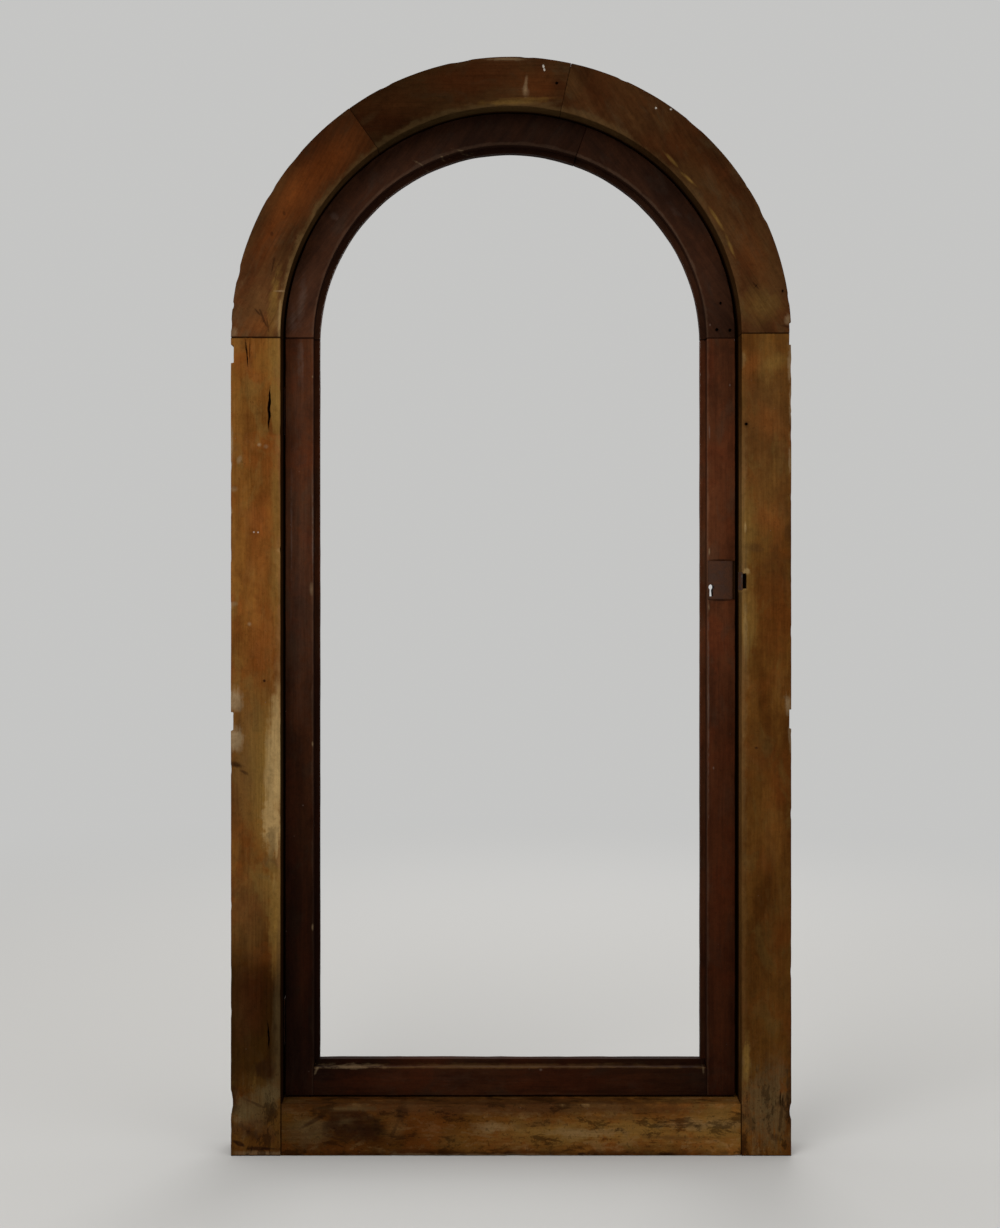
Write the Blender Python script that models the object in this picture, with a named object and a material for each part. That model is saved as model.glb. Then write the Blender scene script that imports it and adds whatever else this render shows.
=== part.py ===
"""Arched timber door frame with its glazed leaf, the glass gone, standing on its sill.

Metres, +Z up. The origin is in the middle of the sill's underside, halfway through the frame's depth.
-Y is the inner side, where the leaf is set back and its glass rebate and lock show. The leaf opens
towards +Y on two butt hinges at -X.
"""

from math import asin, cos, pi, radians, sin

import bmesh
import bpy
from mathutils import Matrix, Vector

# The frame
FRAME_WIDTH = 0.920
SPRING_HEIGHT = 1.343
FRAME_FACE = 0.082
FRAME_DEPTH = 0.076
SILL_HEIGHT = 0.085
FRAME_ARRIS = 0.0015

# The leaf and the clearance round it
LEAF_THICKNESS = 0.040
LEAF_INSET = 0.001
LEAF_FACE = 0.047
RAIL_FACE = 0.047
CROWN_EXTRA = 0.006
SIGHT_WIDTH = 0.0085
REBATE_DEPTH = 0.020
OVOLO = 0.006
LEAF_ARRIS = 0.0008
GAP_HINGE = 0.0035
GAP_LOCK = 0.0050
GAP_CROWN = 0.0012
GAP_FOOT = 0.0030

# Joints between members. The jambs end a little under or over the springing line.
JAMB_LEFT_RISE = -0.001
JAMB_RIGHT_RISE = 0.006
CROWN_JOINT_LEFT = 125.3
CROWN_JOINT_RIGHT = 77.6
LEAF_ARCH_JOINT = 70.1
JOINT_GAP = 0.0003

# Lock case, let into the lock stile, with a shallow mortise between it and the stile's edge
LOCK_WIDTH = 0.0415
LOCK_HEIGHT = 0.064
LOCK_DEPTH = 0.012
LOCK_CENTRE_Z = 0.944
LOCK_MORTISE = 0.004
LOCK_MORTISE_DEPTH = 0.0033
KEYHOLE_INSET = 0.0058
KEYHOLE_DROP = 0.0115
KEYHOLE_HEAD_RADIUS = 0.0046
KEYHOLE_SLOT_WIDTH = 0.0064
KEYHOLE_HEIGHT = 0.020

# Keep on the right jamb's reveal, with the mortise behind it broken out at the face
KEEP_THICKNESS = 0.0015
KEEP_HEIGHT = 0.029
KEEP_LENGTH = 0.0335
KEEP_MARGIN = 0.0005
KEEP_MORTISE_WIDTH = 0.0062
KEEP_MORTISE_HEIGHT = 0.025
KEEP_MORTISE_DEPTH = 0.020
KEEP_DROP = 0.0015

# Butt hinges
HINGE_HEIGHT = 0.076
HINGE_UPPER_DROP = 0.117
HINGE_LOWER_RISE = 0.119
HINGE_PLATE = 0.0024
HINGE_PLATE_WIDTH = 0.027
HINGE_PLATE_SPACE = 0.0007
KNUCKLE_RADIUS = 0.0045
KNUCKLE_SPACE = 0.0005
PIN_RADIUS = 0.0019
PIN_SPACE = 0.0003
HINGE_KNUCKLES = 5

# Notches sawn across the outer edges. The upper pair is set out from the springing line and the
# lower pair from the floor.
UPPER_NOTCH_LEFT = {"rise": -0.028, "length": 0.030, "depth": 0.0047}
UPPER_NOTCH_RIGHT = {"rise": 0.0035, "length": 0.028, "depth": 0.0030}
LOWER_NOTCH_LEFT = {"rise": 0.712, "length": 0.031, "depth": 0.0041}
LOWER_NOTCH_RIGHT = {"rise": 0.716, "length": 0.032, "depth": 0.0033}

# Bruises in the outer edges near the foot, set out from the floor
FOOT_BRUISE_LEFT = {"rise": 0.088, "length": 0.042, "depth": 0.0034}
FOOT_BRUISE_RIGHT = {"rise": 0.073, "length": 0.028, "depth": 0.0033}

# Drying splits in the left jamb's face, inset from its inner arris. Two are set out from the hinges
# and one from the springing line.
UPPER_SPLIT = {"inset": 0.0184, "rise": 0.0, "length": 0.077, "width": 0.0040, "depth": 0.022}
LOWER_SPLIT = {"inset": 0.0197, "rise": -0.009, "length": 0.052, "width": 0.0026, "depth": 0.018}
TOP_SPLIT = {"inset": 0.0560, "rise": -0.031, "length": 0.052, "width": 0.0030, "depth": 0.008}

# Bored holes: one in the right jamb, and three for screws in the foot of the leaf's right arch piece,
# all set out from the springing line
BORE_RADIUS = 0.0025
BORE_DEPTH = 0.014
JAMB_BORE = {"inset": 0.0077, "rise": -0.143}
ARCH_BORES = (
    {"inset": 0.0245, "rise": 0.0578},
    {"inset": 0.0306, "rise": 0.0140},
    {"inset": 0.0088, "rise": 0.0130},
)

ARC_STEPS = 60
OVOLO_STEPS = 3
ROUND_STEPS = 16
CUT_MARGIN = 0.01
BITE_OVERRUN = 1.2

# Places worked out from the sizes above
OUTER_RADIUS = FRAME_WIDTH / 2
REVEAL_RADIUS = OUTER_RADIUS - FRAME_FACE
FRONT_Y = -FRAME_DEPTH / 2
REAR_Y = FRAME_DEPTH / 2
LEAF_HALF = REVEAL_RADIUS - (GAP_HINGE + GAP_LOCK) / 2
LEAF_X = (GAP_HINGE - GAP_LOCK) / 2
LEAF_FOOT_Z = SILL_HEIGHT + GAP_FOOT
LEAF_SPRING_Z = SPRING_HEIGHT + REVEAL_RADIUS - GAP_CROWN - LEAF_HALF
LEAF_REAR_Y = REAR_Y - LEAF_INSET
LEAF_FRONT_Y = LEAF_REAR_Y - LEAF_THICKNESS
REBATE_Y = LEAF_FRONT_Y + REBATE_DEPTH
ARRIS_RADIUS = LEAF_HALF - LEAF_FACE
SIGHT_RADIUS = ARRIS_RADIUS - SIGHT_WIDTH
INNER_SPRING_Z = LEAF_SPRING_Z - CROWN_EXTRA
RAIL_ARRIS_Z = LEAF_FOOT_Z + RAIL_FACE
RAIL_SIGHT_Z = RAIL_ARRIS_Z + SIGHT_WIDTH
LEAF_LEFT_X = LEAF_X - LEAF_HALF
LEAF_RIGHT_X = LEAF_X + LEAF_HALF
HINGE_X = -REVEAL_RADIUS + GAP_HINGE / 2
HINGE_Y = REAR_Y + KNUCKLE_RADIUS + KNUCKLE_SPACE

FRAME_COLOUR = (0.30, 0.16, 0.06)
LEAF_COLOUR = (0.10, 0.035, 0.022)
IRON_COLOUR = (0.10, 0.075, 0.065)


def clear_scene():
    """Removes whatever the scene holds."""
    for thing in list(bpy.data.objects):
        bpy.data.objects.remove(thing)


def new_collection(name):
    """A collection in the scene."""
    collection = bpy.data.collections.new(name)
    bpy.context.scene.collection.children.link(collection)
    return collection


def new_material(name, colour, roughness, metallic=0.0):
    """A plain finish."""
    material = bpy.data.materials.new(name)
    material.use_nodes = True
    shader = material.node_tree.nodes["Principled BSDF"]
    shader.inputs["Base Color"].default_value = (*colour, 1.0)
    shader.inputs["Roughness"].default_value = roughness
    shader.inputs["Metallic"].default_value = metallic
    return material


def arc(centre_x, centre_z, radius, start, end, steps=ARC_STEPS):
    """Points along an arc, angles in degrees from +X towards +Z, both ends included."""
    turn = (end - start) / steps
    angles = [radians(start + turn * step) for step in range(steps + 1)]
    return [(centre_x + radius * cos(a), centre_z + radius * sin(a)) for a in angles]


def arched_loop(centre_x, half_width, foot_z, spring_z):
    """A closed outline: a flat foot, straight sides and a half-round top."""
    right_foot = (centre_x + half_width, foot_z)
    left_foot = (centre_x - half_width, foot_z)
    return [right_foot, *arc(centre_x, spring_z, half_width, 0, 180), left_foot]


def closed_mesh(name, mesh):
    """Welds a mesh's caps to its sides and turns its faces out."""
    work = bmesh.new()
    work.from_mesh(mesh)
    bmesh.ops.remove_doubles(work, verts=work.verts, dist=1e-5)
    bmesh.ops.recalc_face_normals(work, faces=work.faces)
    work.to_mesh(mesh)
    work.free()
    mesh.name = name
    return mesh


def slab(name, loops, front_y, rear_y):
    """A mesh between two planes of constant Y, from closed outlines in X and Z."""
    curve = bpy.data.curves.new(name, "CURVE")
    curve.dimensions = "2D"
    curve.fill_mode = "BOTH"
    curve.extrude = (rear_y - front_y) / 2
    for loop in loops:
        spline = curve.splines.new("POLY")
        spline.points.add(len(loop) - 1)
        spline.use_cyclic_u = True
        for point, (x, z) in zip(spline.points, loop):
            point.co = (x, z, 0, 1)
    outline = bpy.data.objects.new(name + "_outline", curve)
    bpy.context.scene.collection.objects.link(outline)
    graph = bpy.context.evaluated_depsgraph_get()
    mesh = bpy.data.meshes.new_from_object(outline.evaluated_get(graph))
    stand_up = Matrix.Rotation(pi / 2, 4, "X")
    mesh.transform(Matrix.Translation((0, (front_y + rear_y) / 2, 0)) @ stand_up)
    bpy.data.objects.remove(outline)
    return closed_mesh(name, mesh)


def block(name, low, high):
    """A box between two corners, as a mesh."""
    work = bmesh.new()
    size = Vector(high) - Vector(low)
    place = Matrix.Translation((Vector(high) + Vector(low)) / 2) @ Matrix.Diagonal((*size, 1))
    bmesh.ops.create_cube(work, size=1.0, matrix=place)
    mesh = bpy.data.meshes.new(name)
    work.to_mesh(mesh)
    work.free()
    return mesh


def rod(name, centre, radius, length, axis="Z"):
    """A round rod along Z or Y, as a mesh."""
    work = bmesh.new()
    turn = Matrix.Rotation(pi / 2, 4, "X") if axis == "Y" else Matrix.Identity(4)
    bmesh.ops.create_cone(
        work,
        cap_ends=True,
        segments=ROUND_STEPS,
        radius1=radius,
        radius2=radius,
        depth=length,
        matrix=Matrix.Translation(centre) @ turn,
    )
    mesh = bpy.data.meshes.new(name)
    work.to_mesh(mesh)
    work.free()
    return mesh


def bevel_edges(mesh, chosen, width, segments=1):
    """Eases the edges that the test picks."""
    work = bmesh.new()
    work.from_mesh(mesh)
    edges = [edge for edge in work.edges if chosen(*(v.co for v in edge.verts))]
    bmesh.ops.bevel(
        work, geom=edges, offset=width, segments=segments, profile=0.5, affect="EDGES", clamp_overlap=True
    )
    work.to_mesh(mesh)
    work.free()
    return mesh


def sawn(name, blank, cuts):
    """A copy of a blank, sawn by planes. Each cut is a point and the direction that is taken away."""
    work = bmesh.new()
    work.from_mesh(blank)
    for point, away in cuts:
        everything = work.verts[:] + work.edges[:] + work.faces[:]
        found = bmesh.ops.bisect_plane(
            work, geom=everything, dist=1e-7, plane_co=point, plane_no=away, clear_outer=True
        )
        rim = [part for part in found["geom_cut"] if isinstance(part, bmesh.types.BMEdge)]
        bmesh.ops.holes_fill(work, edges=rim, sides=0)
    bmesh.ops.recalc_face_normals(work, faces=work.faces)
    mesh = bpy.data.meshes.new(name)
    work.to_mesh(mesh)
    work.free()
    return mesh


def radial_cut(centre_z, degrees, turned_away):
    """A plane through the arch's centre at an angle. turned_away is 1 to take what lies anticlockwise."""
    angle = radians(degrees)
    away = Vector((-sin(angle), 0, cos(angle))) * turned_away
    return Vector((0, 0, centre_z)) - away * (JOINT_GAP / 2), away


def level_cut(height, upwards):
    """A level plane, half a joint's gap short of the height. upwards is 1 to take what lies above."""
    away = Vector((0, 0, upwards))
    return Vector((0, 0, height)) - away * (JOINT_GAP / 2), away


def side_cut(place_x, towards):
    """A plane across X. towards is 1 to take what lies on the +X side."""
    return Vector((place_x, 0, 0)), Vector((towards, 0, 0))


class Workshop:
    """Makes the objects, and keeps the part's pieces and the cutters in their collections."""

    def __init__(self):
        self.pieces = new_collection("arched_door_frame")
        self.cutters = new_collection("cutters")
        self.count = 0

    def piece(self, name, mesh, material, cutters=()):
        """An object of the part, with a Boolean for each thing cut from it."""
        thing = bpy.data.objects.new(name, mesh)
        mesh.materials.clear()
        mesh.materials.append(material)
        self.pieces.objects.link(thing)
        for cutter in cutters:
            self.cut(thing, cutter)
        return thing

    def cutter(self, mesh):
        """A helper that cuts other pieces and isn't part of the model."""
        self.count += 1
        thing = bpy.data.objects.new(f"cutter_{self.count:02d}_{mesh.name}", mesh)
        thing.hide_render = True
        thing.display_type = "WIRE"
        self.cutters.objects.link(thing)
        return thing

    def cut(self, thing, cutter, operation="DIFFERENCE"):
        """Adds one Boolean."""
        boolean = thing.modifiers.new(cutter.name, "BOOLEAN")
        boolean.operation = operation
        boolean.solver = "EXACT"
        boolean.object = cutter


def ring(centre_x, half_width, foot_z, spring_z, y):
    """An arched outline at one depth, as points in space."""
    return [Vector((x, y, z)) for x, z in arched_loop(centre_x, half_width, foot_z, spring_z)]


def lofted(name, rings, open_foot):
    """A band between arched outlines, each joined to the next and the last to the first.

    With an open foot the band ends at its two feet, and each end is closed with a flat face.
    """
    work = bmesh.new()
    rows = [[work.verts.new(point) for point in points] for points in rings]
    length = len(rows[0])
    steps = range(length - 1) if open_foot else range(length)
    for row, after in zip(rows, rows[1:] + rows[:1]):
        for step in steps:
            onward = (step + 1) % length
            work.faces.new((row[step], row[onward], after[onward], after[step]))
    if open_foot:
        work.faces.new([row[0] for row in rows])
        work.faces.new([row[-1] for row in reversed(rows)])
    bmesh.ops.recalc_face_normals(work, faces=work.faces)
    mesh = bpy.data.meshes.new(name)
    work.to_mesh(mesh)
    work.free()
    return mesh


def frame_blank():
    """The whole frame but its sill, as one horseshoe with eased arrises."""
    ease = FRAME_ARRIS
    section = [
        (OUTER_RADIUS - ease, FRONT_Y),
        (OUTER_RADIUS, FRONT_Y + ease),
        (OUTER_RADIUS, REAR_Y - ease),
        (OUTER_RADIUS - ease, REAR_Y),
        (REVEAL_RADIUS + ease, REAR_Y),
        (REVEAL_RADIUS, REAR_Y - ease),
        (REVEAL_RADIUS, FRONT_Y + ease),
        (REVEAL_RADIUS + ease, FRONT_Y),
    ]
    rings = [ring(0, radius, 0, SPRING_HEIGHT, y) for radius, y in section]
    return lofted("frame_blank", rings, open_foot=True)


def leaf_blank():
    """The whole leaf: an arched board with its sight opening, glass rebate and outer moulding."""
    ease = LEAF_ARRIS

    def outside(inset, y):
        return ring(LEAF_X, LEAF_HALF - inset, LEAF_FOOT_Z + inset, LEAF_SPRING_Z, y)

    def inside(inset, y):
        return ring(LEAF_X, SIGHT_RADIUS + inset, RAIL_SIGHT_Z - inset, INNER_SPRING_Z, y)

    rings = [
        outside(ease, LEAF_FRONT_Y),
        outside(0, LEAF_FRONT_Y + ease),
        outside(0, LEAF_REAR_Y - ease),
        outside(ease, LEAF_REAR_Y),
    ]
    for step in range(OVOLO_STEPS + 1):
        turn = radians(90 * step / OVOLO_STEPS)
        rings.append(inside(OVOLO * (1 - sin(turn)), LEAF_REAR_Y - OVOLO * (1 - cos(turn))))
    rings += [
        inside(0, REBATE_Y),
        inside(SIGHT_WIDTH, REBATE_Y),
        inside(SIGHT_WIDTH, LEAF_FRONT_Y + ease),
        inside(SIGHT_WIDTH + ease, LEAF_FRONT_Y),
    ]
    return lofted("leaf_blank", rings, open_foot=False)


def edge_notch(shop, side, base_z, notch):
    """A notch sawn across an outer edge. side is -1 on the left and 1 on the right."""
    inner = side * (OUTER_RADIUS - notch["depth"])
    outer = side * (OUTER_RADIUS + CUT_MARGIN)
    centre_z, half = base_z + notch["rise"], notch["length"] / 2
    low = (min(inner, outer), FRONT_Y - CUT_MARGIN, centre_z - half)
    high = (max(inner, outer), REAR_Y + CUT_MARGIN, centre_z + half)
    return shop.cutter(block("edge_notch", low, high))


def foot_bruise(shop, side, bruise):
    """A shallow round bite out of an outer edge."""
    half, depth = bruise["length"] / 2, bruise["depth"]
    radius = (half**2 + depth**2) / (2 * depth)
    reach = asin(half / radius) * 180 / pi * BITE_OVERRUN
    centre_x = side * (OUTER_RADIUS - depth + radius)
    middle = 180 if side > 0 else 0
    bite = arc(centre_x, bruise["rise"], radius, middle - reach, middle + reach, ROUND_STEPS)
    return shop.cutter(slab("foot_bruise", [bite], FRONT_Y - CUT_MARGIN, REAR_Y + CUT_MARGIN))


def split(shop, base_z, shape):
    """A drying split in the left jamb's face, widest in its middle."""
    centre_x = -REVEAL_RADIUS - shape["inset"]
    centre_z = base_z + shape["rise"]
    along, across = shape["length"] / 2, shape["width"] / 2
    ends = [(centre_x, centre_z - along), (centre_x, centre_z + along)]
    sides = [(centre_x + across, centre_z), (centre_x - across, centre_z)]
    lens = [ends[0], sides[0], ends[1], sides[1]]
    return shop.cutter(slab("split", [lens], FRONT_Y - CUT_MARGIN, FRONT_Y + shape["depth"]))


def bore(shop, place_x, place_z, face_y):
    """A hole bored square into a face."""
    length = BORE_DEPTH + CUT_MARGIN
    centre = (place_x, face_y + (BORE_DEPTH - CUT_MARGIN) / 2, place_z)
    return shop.cutter(rod("bore", centre, BORE_RADIUS, length, "Y"))


def make_frame(shop, wood):
    """Two jambs, three arch pieces and the sill."""
    blank = frame_blank()
    left_z = SPRING_HEIGHT + JAMB_LEFT_RISE
    right_z = SPRING_HEIGHT + JAMB_RIGHT_RISE
    upper_z, lower_z = hinge_heights()
    right_notch = edge_notch(shop, 1, SPRING_HEIGHT, UPPER_NOTCH_RIGHT)
    left_cuts = [
        edge_notch(shop, -1, SPRING_HEIGHT, UPPER_NOTCH_LEFT),
        edge_notch(shop, -1, 0, LOWER_NOTCH_LEFT),
        foot_bruise(shop, -1, FOOT_BRUISE_LEFT),
        split(shop, SPRING_HEIGHT, TOP_SPLIT),
        split(shop, upper_z, UPPER_SPLIT),
        split(shop, lower_z, LOWER_SPLIT),
        hinge_recess(shop, upper_z, -1),
        hinge_recess(shop, lower_z, -1),
    ]
    right_cuts = [
        right_notch,
        edge_notch(shop, 1, 0, LOWER_NOTCH_RIGHT),
        foot_bruise(shop, 1, FOOT_BRUISE_RIGHT),
        *keep_recesses(shop),
        bore(shop, REVEAL_RADIUS + JAMB_BORE["inset"], SPRING_HEIGHT + JAMB_BORE["rise"], FRONT_Y),
    ]

    left_blank = sawn("jamb_left", blank, [level_cut(left_z, 1), side_cut(0, 1)])
    right_blank = sawn("jamb_right", blank, [level_cut(right_z, 1), side_cut(0, -1)])
    shop.piece("jamb_left", left_blank, wood, left_cuts)
    shop.piece("jamb_right", right_blank, wood, right_cuts)
    arch = {
        "arch_left": [
            level_cut(left_z, -1),
            side_cut(0, 1),
            radial_cut(SPRING_HEIGHT, CROWN_JOINT_LEFT, -1),
        ],
        "arch_crown": [
            level_cut(SPRING_HEIGHT, -1),
            radial_cut(SPRING_HEIGHT, CROWN_JOINT_LEFT, 1),
            radial_cut(SPRING_HEIGHT, CROWN_JOINT_RIGHT, -1),
        ],
        "arch_right": [
            level_cut(right_z, -1),
            radial_cut(SPRING_HEIGHT, CROWN_JOINT_RIGHT, 1),
        ],
    }
    for name, cuts in arch.items():
        shop.piece(name, sawn(name, blank, cuts), wood, [right_notch] if name == "arch_right" else [])

    half = REVEAL_RADIUS - JOINT_GAP
    sill = block("sill", (-half, FRONT_Y, 0), (half, REAR_Y, SILL_HEIGHT))
    bevel_edges(sill, lambda a, b: min(a.z, b.z) > SILL_HEIGHT - 1e-6 and abs(a.y - b.y) < 1e-6, FRAME_ARRIS)
    shop.piece("sill", sill, wood)


def lock_box(grow):
    """Corners of the lock case, grown sideways by a clearance, without its depth."""
    right_x = LEAF_RIGHT_X - LOCK_MORTISE
    low = (right_x - LOCK_WIDTH - grow, LOCK_CENTRE_Z - LOCK_HEIGHT / 2 - grow)
    high = (right_x + grow, LOCK_CENTRE_Z + LOCK_HEIGHT / 2 + grow)
    return low, high


def keyhole_mesh(front_y, rear_y):
    """A keyhole: a round head over a slot that ends square."""
    centre_x = LEAF_RIGHT_X - LOCK_MORTISE - LOCK_WIDTH + KEYHOLE_INSET
    head_z = LOCK_CENTRE_Z - KEYHOLE_DROP
    half = KEYHOLE_SLOT_WIDTH / 2
    neck = asin(half / KEYHOLE_HEAD_RADIUS) * 180 / pi
    head = arc(centre_x, head_z, KEYHOLE_HEAD_RADIUS, -90 + neck, 270 - neck, ROUND_STEPS)
    foot_z = head_z + KEYHOLE_HEAD_RADIUS - KEYHOLE_HEIGHT
    return slab("keyhole", [[*head, (centre_x - half, foot_z), (centre_x + half, foot_z)]], front_y, rear_y)


def make_leaf(shop, wood, iron):
    """Two stiles, the bottom rail, the two arch pieces and the lock case."""
    blank = leaf_blank()
    level = level_cut(LEAF_SPRING_Z, 1)
    above = level_cut(LEAF_SPRING_Z, -1)
    margin = CUT_MARGIN
    shoulder = ARRIS_RADIUS - JOINT_GAP / 2
    bed_low = (LEAF_X - ARRIS_RADIUS - JOINT_GAP / 2, LEAF_FRONT_Y - margin, LEAF_FOOT_Z - margin)
    bed_high = (LEAF_X + ARRIS_RADIUS + JOINT_GAP / 2, LEAF_REAR_Y + margin, RAIL_SIGHT_Z + JOINT_GAP)
    rail_bed = shop.cutter(block("rail_bed", bed_low, bed_high))
    keyhole = shop.cutter(keyhole_mesh(LEAF_FRONT_Y - margin, LEAF_REAR_Y + margin))

    (case_left, case_low), (case_right, case_high) = lock_box(0)
    (seat_left, seat_low), (seat_right, seat_high) = lock_box(JOINT_GAP)
    seat_front = (seat_left, LEAF_FRONT_Y - margin, seat_low)
    seat_rear = (seat_right, LEAF_FRONT_Y + LOCK_DEPTH + JOINT_GAP, seat_high)
    seat = shop.cutter(block("lock_seat", seat_front, seat_rear))
    mortise_front = (case_left, LEAF_FRONT_Y - margin, seat_low)
    mortise_rear = (LEAF_RIGHT_X + margin, LEAF_FRONT_Y + LOCK_MORTISE_DEPTH, seat_high)
    mortise = shop.cutter(block("lock_mortise", mortise_front, mortise_rear))

    hinge_cuts = [rail_bed, *(hinge_recess(shop, centre_z, 1) for centre_z in hinge_heights())]
    shop.piece(
        "leaf_hinge_stile", sawn("leaf_hinge_stile", blank, [level, side_cut(LEAF_X, 1)]), wood, hinge_cuts
    )
    shop.piece(
        "leaf_lock_stile",
        sawn("leaf_lock_stile", blank, [level, side_cut(LEAF_X, -1)]),
        wood,
        [rail_bed, seat, mortise, keyhole],
    )
    rail_cuts = [side_cut(LEAF_X - shoulder, -1), side_cut(LEAF_X + shoulder, 1)]
    rail_cuts.append(level_cut(RAIL_SIGHT_Z, 1))
    shop.piece("leaf_rail", sawn("leaf_rail", blank, rail_cuts), wood)

    leaf_angle = (LEAF_SPRING_Z, LEAF_ARCH_JOINT)
    shop.piece("leaf_arch_left", sawn("leaf_arch_left", blank, [above, radial_cut(*leaf_angle, -1)]), wood)
    bores = [
        bore(shop, LEAF_RIGHT_X - spot["inset"], LEAF_SPRING_Z + spot["rise"], LEAF_FRONT_Y)
        for spot in ARCH_BORES
    ]
    shop.piece(
        "leaf_arch_right", sawn("leaf_arch_right", blank, [above, radial_cut(*leaf_angle, 1)]), wood, bores
    )
    case = block(
        "lock_case", (case_left, LEAF_FRONT_Y, case_low), (case_right, LEAF_FRONT_Y + LOCK_DEPTH, case_high)
    )
    shop.piece("lock_case", case, iron, [keyhole])


def keep_recesses(shop):
    """The seat of the keep in the reveal, and the mortise behind it, open at the jamb's face."""
    centre_z = LOCK_CENTRE_Z - KEEP_DROP
    seat_half = KEEP_HEIGHT / 2 + JOINT_GAP
    seat_x = REVEAL_RADIUS + KEEP_THICKNESS + JOINT_GAP
    rear_y = FRONT_Y + KEEP_MARGIN + KEEP_LENGTH + JOINT_GAP
    seat = block(
        "keep_seat",
        (REVEAL_RADIUS - CUT_MARGIN, FRONT_Y - CUT_MARGIN, centre_z - seat_half),
        (seat_x, rear_y, centre_z + seat_half),
    )
    half = KEEP_MORTISE_HEIGHT / 2
    mortise = block(
        "keep_mortise",
        (REVEAL_RADIUS - CUT_MARGIN, FRONT_Y - CUT_MARGIN, centre_z - half),
        (seat_x + KEEP_MORTISE_WIDTH, FRONT_Y + KEEP_MORTISE_DEPTH, centre_z + half),
    )
    return [shop.cutter(seat), shop.cutter(mortise)]


def make_keep(shop, iron):
    """The iron plate that the lock's bolt shot behind."""
    centre_z = LOCK_CENTRE_Z - KEEP_DROP
    front_y = FRONT_Y + KEEP_MARGIN
    low = (REVEAL_RADIUS, front_y, centre_z - KEEP_HEIGHT / 2)
    high = (REVEAL_RADIUS + KEEP_THICKNESS, front_y + KEEP_LENGTH, centre_z + KEEP_HEIGHT / 2)
    shop.piece("lock_keep", block("lock_keep", low, high), iron)


def hinge_heights():
    """Heights of the two hinges' middles."""
    return SPRING_HEIGHT - HINGE_UPPER_DROP, LEAF_FOOT_Z + HINGE_LOWER_RISE


def plate_faces(side):
    """X of a hinge plate's two faces. side is -1 for the fixed plate and 1 for the moving one."""
    near = HINGE_X + side * HINGE_PLATE_SPACE / 2
    far = near + side * HINGE_PLATE
    return min(near, far), max(near, far)


def hinge_recess(shop, centre_z, side):
    """The seat that a hinge plate is let into, open at the rear face."""
    low_x, high_x = plate_faces(side)
    clear = JOINT_GAP
    half = HINGE_HEIGHT / 2 + clear
    front_y = REAR_Y - HINGE_PLATE_WIDTH - clear
    if side < 0:
        low_x, high_x = low_x - clear, HINGE_X
    else:
        low_x, high_x = HINGE_X, high_x + clear
    low = (low_x, front_y, centre_z - half)
    return shop.cutter(block("hinge_recess", low, (high_x, REAR_Y + CUT_MARGIN, centre_z + half)))


def hinge_half(shop, name, centre_z, side, iron):
    """One plate with its own knuckles. The fixed half carries the pin, and the moving half turns on it."""
    low_x, high_x = plate_faces(side)
    bottom = centre_z - HINGE_HEIGHT / 2
    pitch = HINGE_HEIGHT / HINGE_KNUCKLES
    fixed = side < 0
    plate = block(
        name, (low_x, REAR_Y - HINGE_PLATE_WIDTH, bottom), (high_x, REAR_Y, bottom + HINGE_HEIGHT)
    )
    half = shop.piece(name, plate, iron)
    axis = (HINGE_X, HINGE_Y)
    own = [slot for slot in range(HINGE_KNUCKLES) if (slot % 2 == 0) == fixed]
    for slot in own:
        middle = bottom + pitch * (slot + 0.5)
        length = pitch - KNUCKLE_SPACE
        knuckle = rod("knuckle", (*axis, middle), KNUCKLE_RADIUS, length)
        tab_low = (low_x, REAR_Y - KNUCKLE_SPACE, middle - length / 2)
        tab = block("tab", tab_low, (high_x, HINGE_Y, middle + length / 2))
        shop.cut(half, shop.cutter(tab), "UNION")
        shop.cut(half, shop.cutter(knuckle), "UNION")
    if fixed:
        length = HINGE_HEIGHT - KNUCKLE_SPACE * 2
        shop.cut(half, shop.cutter(rod("pin", (*axis, centre_z), PIN_RADIUS, length)), "UNION")
    else:
        length = HINGE_HEIGHT + CUT_MARGIN
        shop.cut(half, shop.cutter(rod("pin_bore", (*axis, centre_z), PIN_RADIUS + PIN_SPACE, length)))


def make_hinges(shop, iron):
    """A pair of butt hinges, each as two halves."""
    for place, centre_z in zip(("upper", "lower"), hinge_heights()):
        hinge_half(shop, f"hinge_{place}_fixed", centre_z, -1, iron)
        hinge_half(shop, f"hinge_{place}_moving", centre_z, 1, iron)


def main():
    """Builds the frame, its leaf and their ironwork."""
    clear_scene()
    shop = Workshop()
    frame_wood = new_material("frame_wood", FRAME_COLOUR, 0.6)
    leaf_wood = new_material("leaf_wood", LEAF_COLOUR, 0.45)
    iron = new_material("iron", IRON_COLOUR, 0.6, 0.8)
    make_frame(shop, frame_wood)
    make_leaf(shop, leaf_wood, iron)
    make_keep(shop, iron)
    make_hinges(shop, iron)


main()
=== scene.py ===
"""Looks of an old round-headed door surround and of the glassless leaf that hangs in it.

Each timber is drawn again as a fine mesh inside its plain solid, with the rounding, chips, bites, splits
and holes of long use, and is given a stained or oiled wood that follows its own grain.
"""

import logging
from dataclasses import dataclass, field, replace
from enum import Enum
from math import cos, pi, radians, sin
from typing import Optional, Protocol, Sequence, Union

import bmesh
import bpy
import numpy as np
from mathutils import Matrix, Vector


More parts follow.
